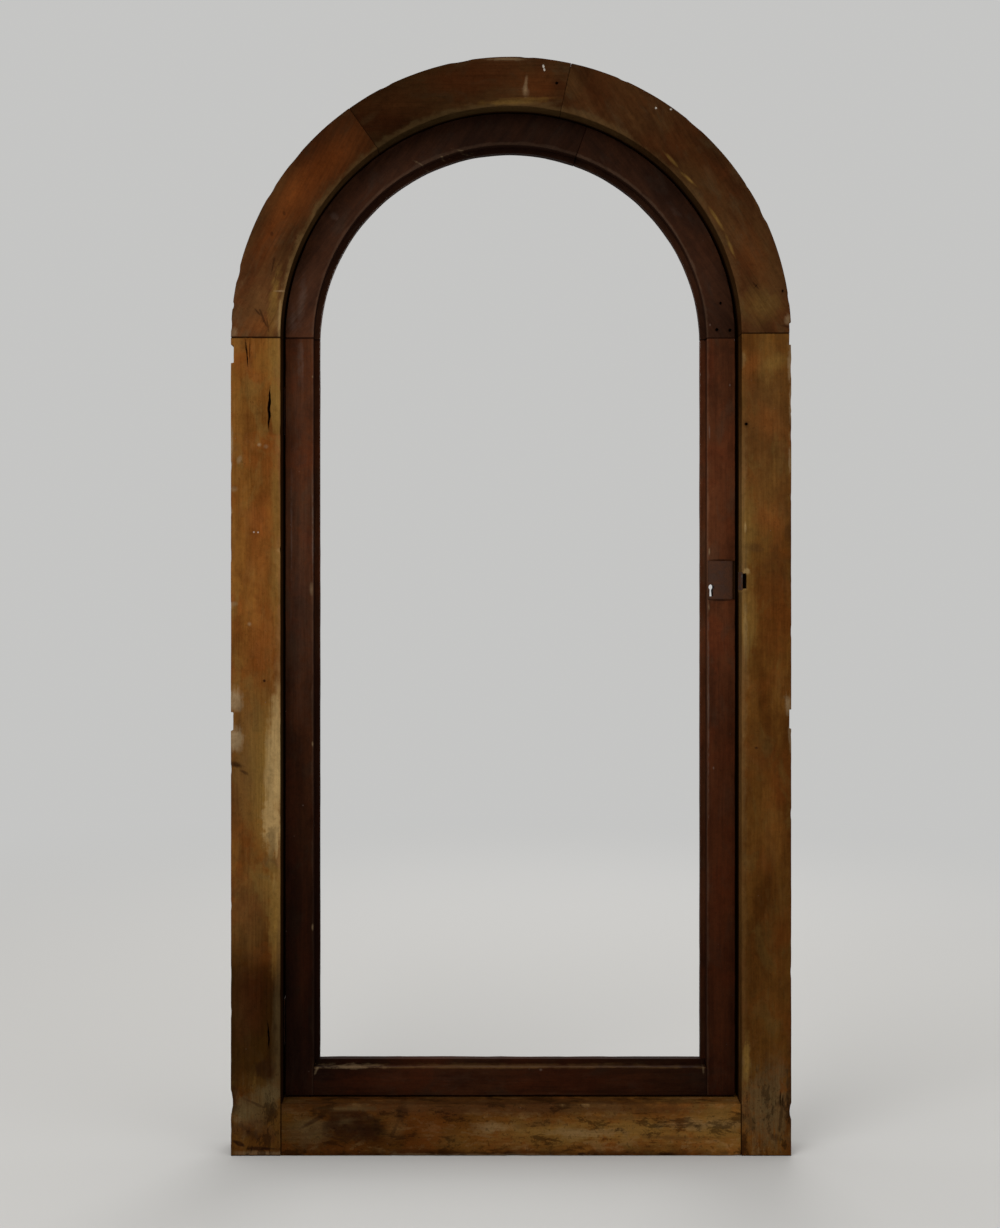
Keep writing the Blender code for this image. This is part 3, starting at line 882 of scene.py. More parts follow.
@dataclass(frozen=True)
class ArcTrack:
    """A curved timber between two sawn ends. An end is an angle and how far its plane misses the centre."""

    centre: Point
    inner: float
    outer: float
    width: float
    first: Point
    last: Point
    inner_drop: float = 0.0
    fixed: float = 0.0

    @property
    def length(self) -> float:
        """Length of the outer edge."""
        return self.outer * radians(abs(self.first[0] - self.last[0]))

    def place(self, along: np.ndarray, across: np.ndarray) -> tuple[np.ndarray, np.ndarray]:
        """X and Z of points.

        Args:
            along: distance from the first end, at the outer edge.
            across: distance outwards from the inner edge, before the face widens towards the crown.

        Returns:
            X and Z.
        """
        share = along / self.length
        angle = np.radians(self.first[0] + (self.last[0] - self.first[0]) * share)
        drop = self.inner_drop
        edge = -drop * np.sin(angle) + np.sqrt(self.inner**2 - (drop * np.cos(angle)) ** 2)
        stretch = (self.outer - edge - self.fixed) / (self.width - self.fixed)
        radius = edge + np.where(across < self.fixed, across, self.fixed + (across - self.fixed) * stretch)
        start = radians(self.first[0]) + np.arcsin(self.first[1] / radius)
        end = radians(self.last[0]) + np.arcsin(self.last[1] / radius)
        turn = start + (end - start) * share
        return self.centre[0] + radius * np.cos(turn), self.centre[1] + radius * np.sin(turn)


@dataclass(frozen=True)
class Bite:
    """Wood missing from an outer edge: where along the timber, how long and deep, and whether it was sawn."""

    middle: float
    length: float
    depth: float
    sawn: bool = False


@dataclass(frozen=True)
class Gouge:
    """A dent or tear in the face: along, across, its length and width, and its depth."""

    along: float
    across: float
    length: float
    width: float
    depth: float


@dataclass
class Timber:
    """One timber: the line it follows, its section and its damage."""

    node: str
    body: str
    slot: str
    track: Track
    section: Section
    seed: int
    bites: tuple[Bite, ...] = ()
    gouges: tuple[Gouge, ...] = ()
    chip_rate: float = 9.0
    sunk: float = 0.00022
    end_ease: float = 0.0006
    pitch: float = 0.006
    cutters: list[bpy.types.Object] = field(default_factory=list)

    DRIFT = 0.55
    CHIP_HALF = (0.004, 0.024)
    CHIP_SHARE = (0.15, 1.0)
    EDGE_ZONE = 0.022
    EDGE_WAVER = 0.00025
    END_STEPS = (0.0, 0.0003, 0.0007, 0.0012, 0.0022)
    SAW_STEPS = (-0.0012, -0.0004, 0.0, 0.0004, 0.0012)
    BITE_PITCH = 0.0022
    GOUGE_STEPS = 7
    CLOSEST = 0.00019
    END_ROUND = 0.0012
    JOINT_DARK = 0.0021
    SAW_CORNER = 0.0005

    def stations(self) -> np.ndarray:
        """Chooses where the section is drawn.

        Returns:
            Distances along the timber, close together at its ends, bites and gouges.
        """
        length = self.track.length
        marks = list(np.linspace(0, length, max(2, round(length / self.pitch) + 1)))
        marks += list(self.END_STEPS) + [length - step for step in self.END_STEPS]
        for bite in self.bites:
            start, end = bite.middle - bite.length / 2, bite.middle + bite.length / 2
            if bite.sawn:
                marks += [edge + step for edge in (start, end) for step in self.SAW_STEPS]
            else:
                marks += list(np.linspace(start, end, max(5, round(bite.length / self.BITE_PITCH))))
        for gouge in self.gouges:
            half = gouge.length / 2
            marks += list(np.linspace(gouge.along - half, gouge.along + half, self.GOUGE_STEPS))
        marks = np.unique(np.round(np.clip(marks, 0, length), 5))
        keep = np.concatenate(([True], np.diff(marks) > self.CLOSEST))
        return marks[keep]

    def corner_radii(self, along: np.ndarray, wander: Wander) -> np.ndarray:
        """Rounding of each corner at each station, with its chips.

        Args:
            along: the stations.
            wander: this timber's noise.

        Returns:
            Radii, stations by corners.
        """
        rng = np.random.default_rng(self.seed + 100)
        radii = np.zeros((len(along), len(self.section.corners)))
        for index, corner in enumerate(self.section.corners):
            if corner.radius == 0:
                continue
            drift = wander.at(along * 22, index * 9.7, 4)
            radii[:, index] = corner.radius * (1 + self.DRIFT * drift)
            for _ in range(int(self.chip_rate * self.track.length * (corner.chips > 0))):
                middle = rng.uniform(0, self.track.length)
                half = rng.uniform(*self.CHIP_HALF)
                size = corner.chips * rng.uniform(*self.CHIP_SHARE) ** 2
                shape = np.clip(1 - ((along - middle) / half) ** 2, 0, None) ** 1.2
                radii[:, index] = np.maximum(radii[:, index], corner.radius * 0.7 + size * shape)
        return np.maximum(radii, 0.0)

    def edge_loss(self, along: np.ndarray, wander: Wander) -> np.ndarray:
        """How much is missing from the outer edge at each station.

        Args:
            along: the stations.
            wander: this timber's noise.

        Returns:
            Depths.
        """
        loss = self.EDGE_WAVER * (1 + wander.at(along * 14, 71.0, 4))
        for bite in self.bites:
            part = np.abs(along - bite.middle) / (bite.length / 2)
            if bite.sawn:
                ramp = np.clip((1 - part) * bite.length / 2 / self.SAW_CORNER, 0, 1)
                shape = ramp * (1 + 0.06 * wander.at(along * 160, 33.0, 2))
            else:
                shape = np.clip(1 - part**2, 0, 1) * (1 + 0.25 * wander.at(along * 120, 45.0, 3))
            loss = np.maximum(loss, bite.depth * np.minimum(shape, 1.0))
        return loss

    def pressed(self, along: np.ndarray, wander: Wander) -> np.ndarray:
        """How far each point of the surface is sunk, with dents and tears.

        Args:
            along: the stations.
            wander: this timber's noise.

        Returns:
            Depths, stations by points.
        """
        section = self.section
        base = section.spots[section.owner]
        across = base[:, 0] + section.ahead * section.next_way[section.owner][:, 0]
        across = across + section.behind * section.back_way[section.owner][:, 0]
        spread = np.arange(len(across)) * 0.23
        sunk = self.sunk * (1 + wander.at(along[:, None] * 16, spread[None, :], 4))
        sunk = sunk * np.clip(section.flat / 0.003, 0.3, 1)
        front = (section.inward[:, 1] > 0.9) & (section.flat > 0.001)
        for gouge in self.gouges:
            part = ((along[:, None] - gouge.along) / (gouge.length / 2)) ** 2
            part = part + ((across[None, :] - gouge.across) / (gouge.width / 2)) ** 2
            uneven = 1 + 0.3 * wander.at(along[:, None] * 140, across[None, :] * 140, 2)
            sunk = np.maximum(sunk, gouge.depth * (np.clip(1 - part, 0, 1) * uneven) * front)
        return sunk

    def mesh(self) -> bpy.types.Mesh:
        """The timber's fine mesh.

        Returns:
            A closed mesh that carries how worn each point is, and how much painted shade and joint darkening
            it takes.
        """
        wander = Wander(self.seed)
        along = self.stations()
        section = self.section
        sunk = self.pressed(along, wander)
        ends = np.minimum(along, self.track.length - along)
        sunk += (self.end_ease * np.clip(1 - ends / self.END_ROUND, 0, 1) ** 1.5)[:, None]
        across, depth, worn = section.shaped(self.corner_radii(along, wander), sunk)
        width = max(corner.across for corner in section.corners)
        loss = self.edge_loss(along, wander)[:, None]
        zone = np.clip((across - (width - self.EDGE_ZONE)) / self.EDGE_ZONE, 0, 1)
        across = across - loss * zone
        worn = np.clip(worn + np.clip(loss / 0.003 - 0.25, 0, 1) * np.clip(zone * 6 - 5, 0, 1), 0, 1)
        x, z = self.track.place(along[:, None], across)
        points = np.stack((x, depth, z), axis=-1).reshape(-1, 3)
        rows, ring = len(along), len(section.owner)
        index = np.arange(rows * ring).reshape(rows, ring)
        after = np.roll(index, -1, axis=1)
        quads = np.stack((index[:-1], after[:-1], after[1:], index[1:]), axis=-1).reshape(-1, 4)
        faces = quads.tolist() + [index[0].tolist(), index[-1][::-1].tolist()]
        mesh = bpy.data.meshes.new(self.node + "_timber")
        mesh.from_pydata(points.tolist(), [], faces)
        # Painted shade on reveal and rebate faces, with dark joints near the timber's ends.
        joint = 1.5 * np.clip(1 - ends / self.JOINT_DARK, 0, 1)[:, None]
        hollow = np.maximum(np.broadcast_to(section.hollow, (rows, ring)), joint).reshape(-1)
        for name, values in (("worn", worn.reshape(-1)), ("hollow", hollow)):
            layer = mesh.attributes.new(name, "FLOAT", "POINT")
            layer.data.foreach_set("value", np.ascontiguousarray(values, dtype=np.float32))
        outward(mesh)
        return mesh

    def build(self, material: bpy.types.Material) -> bpy.types.Object:
        """Makes the object, cuts its holes and puts it in its solid's place.

        Args:
            material: its wood.

        Returns:
            The object.
        """
        mesh = self.mesh()
        mesh.materials.append(material)
        thing = linked(self.node + "_timber", mesh)
        if self.cutters:
            # Faces left by the cutters take the painted shade of the cut finish.
            cut_by(thing, self.cutters, CutShadeFinish().make(self.node))
        smooth(thing.data, 32)
        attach(thing, self.body)
        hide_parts(self.node)
        log.info("%s: %d faces", thing.name, len(thing.data.polygons))
        return thing


def linked(name: str, mesh: bpy.types.Mesh) -> bpy.types.Object:
    """Puts a mesh in the scene.

    Args:
        name: the object's name.
        mesh: its mesh.

    Returns:
        The object.
    """
    thing = bpy.data.objects.new(name, mesh)
    bpy.context.scene.collection.objects.link(thing)
    return thing


def outward(mesh: bpy.types.Mesh) -> None:
    """Turns a closed mesh's faces out.

    Args:
        mesh: the mesh.
    """
    work = bmesh.new()
    work.from_mesh(mesh)
    bmesh.ops.recalc_face_normals(work, faces=work.faces)
    work.to_mesh(mesh)
    work.free()


def smooth(mesh: bpy.types.Mesh, degrees: float) -> None:
    """Shades a mesh smooth but for its sharp edges."""
    mesh.shade_smooth()
    mesh.set_sharp_from_angle(angle=radians(degrees))


def cut_by(
    thing: bpy.types.Object, cutters: Sequence[bpy.types.Object], inside: Optional[bpy.types.Material] = None
) -> None:
    """Takes cutters away from an object and removes them.

    Args:
        thing: the object.
        cutters: closed objects.
        inside: the finish of the faces they leave, if it isn't the object's own.
    """
    for cutter in cutters:
        cutter.data.materials.append(inside or thing.data.materials[0])
        boolean = thing.modifiers.new(cutter.name, "BOOLEAN")
        boolean.operation = "DIFFERENCE"
        boolean.solver = "MANIFOLD"
        boolean.material_mode = "TRANSFER"
        boolean.object = cutter
    graph = bpy.context.evaluated_depsgraph_get()
    mesh = bpy.data.meshes.new_from_object(thing.evaluated_get(graph))
    thing.modifiers.clear()
    thing.data = mesh
    for cutter in cutters:
        bpy.data.objects.remove(cutter)


def plug(
    name: str, front: Sequence[Point], back: Sequence[Point], front_y: float, back_y: float
) -> bpy.types.Object:
    """A closed solid between two outlines of as many points.

    Args:
        name: its name.
        front: the outline at front_y, as X and Z.
        back: the outline at back_y.
        front_y: depth of the first.
        back_y: depth of the second.

    Returns:
        The object.
    """
    count = len(front)
    points = [(x, front_y, z) for x, z in front] + [(x, back_y, z) for x, z in back]
    faces = [list(range(count)), list(range(2 * count - 1, count - 1, -1))]
    faces += [[step, (step + 1) % count, count + (step + 1) % count, count + step] for step in range(count)]
    mesh = bpy.data.meshes.new(name)
    mesh.from_pydata(points, [], faces)
    outward(mesh)
    return linked(name, mesh)


def box(name: str, low: Vector, high: Vector) -> bpy.types.Object:
    """A box between two corners."""
    outline = [(low[0], low[2]), (high[0], low[2]), (high[0], high[2]), (low[0], high[2])]
    return plug(name, outline, outline, low[1], high[1])


def hole(
    name: str, centre: Point, radius: float, face_y: float, depth: float, rough: float
) -> bpy.types.Object:
    """A worn round hole that narrows inwards.

    Args:
        name: its name.
        centre: X and Z.
        radius: its radius at the face.
        face_y: depth of the face.
        depth: how deep it goes.
        rough: how uneven it is.

    Returns:
        The cutter.
    """
    sides, taper, clear = 18, 0.82, 0.004
    wander = Wander(int(abs(centre[0]) * 10000))
    turns = np.linspace(0, 2 * pi, sides, endpoint=False)
    sizes = radius * (1 + rough * wander.at(turns * 1.3, 3.0, 2))
    front = [(centre[0] + r * cos(a), centre[1] + r * sin(a)) for a, r in zip(turns, sizes)]
    back = [(centre[0] + (x - centre[0]) * taper, centre[1] + (z - centre[1]) * taper) for x, z in front]
    return plug(name, front, back, face_y - clear, face_y + depth)


def crack(
    name: str, centre: Point, length: float, width: float, depth: float, turn: float, seed: int
) -> bpy.types.Object:
    """A ragged drying split in the frame's face, which closes towards its ends and inwards.

    Args:
        name: its name.
        centre: X and Z of its middle.
        length: its length, upright unless turned.
        width: its greatest width.
        depth: its greatest depth.
        turn: degrees clockwise from upright.
        seed: chooses how ragged it is.

    Returns:
        The cutter.
    """
    stations, clear = 19, 0.003
    wander = Wander(seed)
    part = np.linspace(-1, 1, stations)
    line = wander.at(part * 3, 8.0, 3) * width * 0.35
    half = width / 2 * np.clip(1 - np.abs(part) ** 1.6, 0.04, 1) * (1 + 0.4 * wander.at(part * 5, 21.0, 2))
    tilt = radians(turn)

    def around(scale: float, shrink: float) -> list[Point]:
        """The outline at one depth.

        Args:
            scale: its width, as a share of the split's.
            shrink: its length, as a share of the split's.

        Returns:
            Its points.
        """
        left = list(zip(line - half * scale, part * length / 2 * shrink))
        right = list(zip(line + half * scale, part * length / 2 * shrink))
        return [
            (centre[0] + a * cos(tilt) + b * sin(tilt), centre[1] + b * cos(tilt) - a * sin(tilt))
            for a, b in left + right[::-1]
        ]

    return plug(name, around(1.25, 1.0), around(0.3, 0.9), -HALF_DEPTH - clear, -HALF_DEPTH + depth)


# Woods and sections


FRAME_WOOD = TimberFinish(
    body=(0.192, 0.078, 0.0145),
    deep=(0.112, 0.037, 0.0066),
    warm=(0.192, 0.056, 0.01),
    dull=(0.172, 0.09, 0.0215),
    worn=(0.27, 0.15, 0.055),
    hollow=(0.012, 0.0045, 0.0015),
    grain=0.45,
    mottle=0.75,
    wear=0.55,
    grime=0.62,
    rough=0.72,
    specular=0.0,
    arris=(0.0, REVEAL_RADIUS),
    rim_width=0.0066,
    recess=(-0.012, -0.004),
)

LEAF_WOOD = TimberFinish(
    body=(0.084, 0.026, 0.0092),
    deep=(0.046, 0.014, 0.0052),
    warm=(0.096, 0.023, 0.0074),
    dull=(0.062, 0.029, 0.0145),
    worn=(0.155, 0.085, 0.05),
    hollow=(0.012, 0.004, 0.002),
    grain=0.5,
    mottle=0.75,
    wear=0.45,
    grime=0.2,
    rough=0.62,
    specular=0.02,
    arris=(LEAF_X, LEAF_ARRIS),
    rim_width=0.0022,
    recess=(0.2, 0.3),
)

ARCH_WOOD = replace(
    FRAME_WOOD, body=(0.188, 0.08, 0.0255), deep=(0.108, 0.038, 0.0128), warm=(0.178, 0.053, 0.0155),
    dull=(0.16, 0.089, 0.038),
)

LEAF_ARCH_WOOD = replace(
    LEAF_WOOD, body=(0.078, 0.029, 0.0135), deep=(0.043, 0.016, 0.008), warm=(0.08, 0.0265, 0.011),
    dull=(0.06, 0.032, 0.02),
)


def frame_section(chips: float) -> Section:
    """The frame's section, from its reveal outwards.

    Args:
        chips: how large the chips on its front arrises are.

    Returns:
        The section.
    """
    front, rear, width = -HALF_DEPTH, HALF_DEPTH, OUTER_RADIUS - REVEAL_RADIUS
    return Section(
        (
            Corner(0.0, front, 0.0018, chips),
            Corner(width, front, 0.0019, chips),
            Corner(width, rear, 0.0018, chips * 0.5),
            # The reveal takes painted shade.
            Corner(0.0, rear, 0.0018, chips * 0.4, shaded_after=1.0),
        )
    )


def leaf_section() -> Section:
    """The leaf's section from its sight edge outwards.

    Returns:
        The section, with its glass rebate in front and an ovolo behind.
    """
    front, floor, rear = LEAF_FRONT_Y, REBATE_FLOOR_Y, LEAF_REAR_Y
    sight, width = REBATE_WIDTH, LEAF_FACE
    return Section(
        (
            Corner(sight, front, 0.001, 0.0018),
            Corner(width, front, 0.0012, 0.002),
            Corner(width, rear, 0.0012, 0.002),
            Corner(0.0, rear, 0.006),
            # The rebate's seat and side take painted shade.
            Corner(0.0, floor, 0.0007, 0.0, shaded_after=0.5),
            Corner(sight, floor, 0.0, 0.0, shaded_after=1.0),
        )
    )


# Sub-assemblies


def hinge_seats(side: int) -> list[bpy.types.Object]:
    """Cutters for the seats that the hinge plates are let into.

    Args:
        side: -1 on the jamb and 1 on the leaf.

    Returns:
        Two cutters.
    """
    seat_depth, half_height, front_y, rear_y = 0.00305, 0.0383, 0.0107, 0.05
    low_x, high_x = sorted((HINGE_AXIS_X, HINGE_AXIS_X + side * seat_depth))
    spans = [(middle - half_height, middle + half_height) for middle in HINGE_HEIGHTS.values()]
    return [
        box("hinge_seat", Vector((low_x, front_y, low_z)), Vector((high_x, rear_y, high_z)))
        for low_z, high_z in spans
    ]


@dataclass
class Surround:
    """The frame: two jambs, three arch pieces and the sill."""

    left_top: float = SPRING_Z - 0.001
    right_top: float = SPRING_Z + 0.006
    joint_left: float = 125.3
    joint_right: float = 77.6
    sill_height: float = 0.085
    body: str = "surround"
    slot: str = "frame_wood"

    def arc(self, first: Point, last: Point) -> ArcTrack:
        """The line of one arch piece."""
        width = OUTER_RADIUS - REVEAL_RADIUS
        return ArcTrack((0.0, SPRING_Z), REVEAL_RADIUS, OUTER_RADIUS, width, first, last)

    def jamb_left(self) -> None:
        """The left jamb, split in three places and bare along its inner edge."""
        top = self.left_top - GAP / 2
        timber = Timber(
            "jamb_left", self.body, self.slot,
            StraightTrack((-REVEAL_RADIUS, 0.0), (0.0, 1.0), (-1.0, 0.0), top),
            frame_section(0.0048), 11,
            bites=(
                Bite(1.315, 0.03, 0.0047, True), Bite(0.712, 0.031, 0.0041, True),
                Bite(0.088, 0.042, 0.0034), Bite(0.633, 0.02, 0.001),
                Bite(0.985, 0.03, 0.0008), Bite(0.41, 0.018, 0.0009),
                Bite(1.13, 0.024, 0.0009), Bite(0.235, 0.02, 0.001),
            ),
            gouges=(
                Gouge(0.69, 0.01, 0.06, 0.016, 0.0009), Gouge(0.64, 0.02, 0.05, 0.014, 0.0008),
                Gouge(0.56, 0.014, 0.045, 0.014, 0.0009), Gouge(0.748, 0.064, 0.03, 0.012, 0.0009),
                Gouge(0.69, 0.071, 0.02, 0.012, 0.0012), Gouge(0.03, 0.04, 0.022, 0.06, 0.001),
            ),
        )
        timber.cutters = [
            crack("split", (-0.3964, 1.226), 0.077, 0.0042, 0.022, 2.0, 5),
            crack("split", (-0.3977, 0.198), 0.052, 0.0027, 0.018, -3.0, 6),
            crack("split", (-0.4335, 1.317), 0.05, 0.0024, 0.009, -5.0, 7),
            crack("split", (-0.4283, 1.322), 0.04, 0.0014, 0.006, 2.0, 8),
            *hinge_seats(-1),
        ]
        marks = (
            Mark(Tone.BROWN, -0.44, 0.24, 0.05, 0.13, 0.45, 0, 1.2),
            Mark(Tone.AMBER, -0.408, 1.01, 0.05, 0.17, 0.45),
            Mark(Tone.AMBER, -0.408, 0.84, 0.05, 0.15, 0.5),
            Mark(Tone.HONEY, -0.388, 1.315, 0.022, 0.07, 0.6, 0, 1.2),
            Mark(Tone.HONEY, -0.386, 1.235, 0.018, 0.1, 0.7, 0, 1.4, 0.6),
            Mark(Tone.HONEY, -0.386, 1.08, 0.014, 0.18, 0.5, 0, 1.4),
            Mark(Tone.HONEY, -0.387, 0.93, 0.018, 0.14, 0.5, 0, 1.4),
            Mark(Tone.BROWN, -0.412, 0.722, 0.04, 0.045, 0.35),
            Mark(Tone.TAN, -0.434, 0.65, 0.054, 0.23, 0.6, 0, 0.8),
            Mark(Tone.TAN, -0.43, 0.4, 0.06, 0.16, 0.4),
            Mark(Tone.HONEY, -0.403, 0.62, 0.052, 0.26, 0.75, 0, 0.8),
            Mark(Tone.BARE, -0.387, 0.64, 0.031, 0.19, 0.95, 1, 0.7, 0.55),
            Mark(Tone.BARE, -0.384, 0.735, 0.012, 0.07, 0.6, 0, 1.2),
            Mark(Tone.BARE, -0.391, 0.545, 0.034, 0.09, 0.75, -3, 1.6, 0.5),
            Mark(Tone.OLIVE, -0.394, 0.48, 0.03, 0.022, 0.6, 10, 1.4),
            Mark(Tone.SOOT_AND_SHADE, -0.39, 0.52, 0.016, 0.04, 0.35, 0, 2.4, 0.5),
            Mark(Tone.BARE, -0.384, 0.51, 0.005, 0.05, 0.6, 0, 1.6, 0.6),
            Mark(Tone.BARE, -0.388, 0.445, 0.007, 0.03, 0.45, 0, 1.8, 0.6),
            Mark(Tone.OLIVE, -0.4, 0.455, 0.022, 0.01, 0.5, 20, 1.6),
            Mark(Tone.HONEY, -0.398, 0.44, 0.05, 0.07, 0.6, 0, 1.4),
            Mark(Tone.HONEY, -0.387, 0.39, 0.02, 0.15, 0.7, 0, 1.2),
            Mark(Tone.BROWN, -0.42, 0.42, 0.06, 0.05, 0.25),
            Mark(Tone.EMBER, -0.422, 0.262, 0.052, 0.11, 0.45, 0, 1.1),
            Mark(Tone.SOOT_AND_SHADE, -0.404, 0.142, 0.04, 0.034, 0.65, 0, 0.9, 0.5),
            Mark(Tone.OLIVE, -0.385, 0.2, 0.014, 0.16, 0.3, 0, 1.2),
            Mark(Tone.OLIVE, -0.394, 0.1, 0.036, 0.036, 0.85, 0, 1.2),
            Mark(Tone.HONEY, -0.421, 0.12, 0.006, 0.036, 0.15, 6, 1.4),
            Mark(Tone.OLIVE, -0.424, 0.074, 0.074, 0.06, 0.55, -20, 1.5, 0.6),
            Mark(Tone.OLIVE, -0.44, 0.068, 0.04, 0.03, 0.5, -20, 1.6),
            Mark(Tone.SOOT_AND_SHADE, -0.454, 0.092, 0.01, 0.06, 0.5, 4, 1.6, 0.6),
            Mark(Tone.SOOT_AND_SHADE, -0.42, 0.086, 0.04, 0.005, 0.45, 24, 1.8, 0.6),
            Mark(Tone.SCUFF, -0.449, 0.061, 0.012, 0.014, 0.25, 0, 1.6),
            Mark(Tone.BROWN, -0.436, 0.046, 0.046, 0.026, 0.6, -18, 1.6, 0.6),
            Mark(Tone.BROWN, -0.398, 0.034, 0.032, 0.024, 0.5, 24, 1.6, 0.6),
            Mark(Tone.SOOT_AND_SHADE, -0.43, 0.04, 0.03, 0.014, 0.6, 40, 1.8),
            Mark(Tone.SOOT_AND_SHADE, -0.398, 0.062, 0.012, 0.03, 0.45, 25, 1.8),
            Mark(Tone.SOOT_AND_SHADE, -0.446, 0.02, 0.026, 0.007, 0.9, 24, 1.0, 0.5),
            Mark(Tone.SOOT_AND_SHADE, -0.408, 0.012, 0.062, 0.006, 0.9, 1, 1.0, 0.5),
            Mark(Tone.SCUFF, -0.41, 0.004, 0.09, 0.008, 0.3, 0, 1.4),
            Mark(Tone.SCUFF, -0.454, 0.748, 0.026, 0.04, 0.75, 0, 0.9, 0.5),
            Mark(Tone.SCUFF, -0.4525, 0.684, 0.026, 0.042, 0.8, 0, 0.9, 0.45),
            Mark(Tone.SOOT_AND_SHADE, -0.45, 0.641, 0.024, 0.011, 0.75, 12, 1.0, 0.6),
            Mark(Tone.SOOT_AND_SHADE, -0.438, 0.629, 0.016, 0.005, 0.6, 30, 1.0, 0.6),
            Mark(Tone.SCUFF, -0.413, 1.166, 0.007, 0.006, 0.5, 0, 0.5),
            Mark(Tone.SCUFF, -0.402, 1.163, 0.007, 0.006, 0.4, 0, 0.5),
            Mark(Tone.SCUFF, -0.4455, 1.142, 0.007, 0.012, 0.55, 20, 0.6),
            Mark(Tone.SCUFF, -0.4585, 1.165, 0.005, 0.07, 0.6, 0, 1.4),
            Mark(Tone.SCUFF, -0.455, 1.093, 0.011, 0.008, 0.4, 0, 0.8),
            Mark(Tone.SCUFF, -0.455, 0.905, 0.012, 0.007, 0.5, 0, 0.8),
            Mark(Tone.SCUFF, -0.429, 0.872, 0.006, 0.006, 0.5, 0, 0.5),
            Mark(Tone.PAINT, -0.4218, 1.0227, 0.0026, 0.0026, 0.6, 0, 0.2, 0.4),
            Mark(Tone.PAINT, -0.4148, 1.0224, 0.0026, 0.0026, 0.6, 0, 0.2, 0.4),
            Mark(Tone.SOOT_AND_SHADE, -0.4046, 0.779, 0.005, 0.005, 0.8, 0, 0.3, 0.5),
        )
        # Brightness along the jamb, partly painted light; its reveal takes full painted shade.
        levels = (
            Level(0.0, 0.44), Level(0.05, 0.44), Level(0.1, 0.34, 0.1), Level(0.14, 0.19, 0.8),
            Level(0.2, 0.145, 1.0), Level(0.27, 0.13, 1.0), Level(0.31, 0.24, 0.6),
            Level(0.36, 0.52, 0.5), Level(0.46, 0.92, 0.5),
            Level(0.6, 0.85, 0.6), Level(0.8, 0.98, 0.4), Level(0.96, 1.12, 0.3), Level(1.1, 0.92, 0.25),
            Level(1.345, 0.98, 0.25),
        )
        timber.build(FRAME_WOOD.make("jamb_left", Lay(90, -0.3, 1.0), marks, levels))

    def jamb_right(self) -> None:
        """The right jamb, with the keep's broken mortise."""
        top = self.right_top - GAP / 2
        timber = Timber(
            "jamb_right", self.body, self.slot,
            StraightTrack((REVEAL_RADIUS, 0.0), (0.0, 1.0), (1.0, 0.0), top),
            frame_section(0.0048), 12,
            bites=(
                Bite(1.345, 0.03, 0.003, True), Bite(0.716, 0.032, 0.0033, True),
                Bite(0.073, 0.028, 0.0033),
                Bite(1.29, 0.034, 0.0012), Bite(1.235, 0.03, 0.0011), Bite(0.56, 0.022, 0.001),
                Bite(0.86, 0.026, 0.0009), Bite(0.3, 0.024, 0.001), Bite(1.08, 0.018, 0.0009),
            ),
            gouges=(
                Gouge(0.18, 0.016, 0.04, 0.012, 0.0009), Gouge(0.955, 0.01, 0.016, 0.014, 0.0012),
                Gouge(1.3, 0.074, 0.05, 0.01, 0.001),
            ),
        )
        timber.cutters = [
            box("keep_seat", Vector((0.36, -0.05, 0.9277)), Vector((0.3798, -0.0037, 0.9573))),
            box("keep_mortise", Vector((0.36, -0.05, 0.93)), Vector((0.386, -0.018, 0.955))),
            hole("bore", (0.3857, 1.2), 0.0028, -HALF_DEPTH, 0.014, 0.2),
            crack("sliver", (0.4415, 0.094), 0.03, 0.0016, 0.006, 3.0, 9),
            crack("sliver", (0.4455, 0.09), 0.022, 0.0012, 0.005, -2.0, 10),
        ]
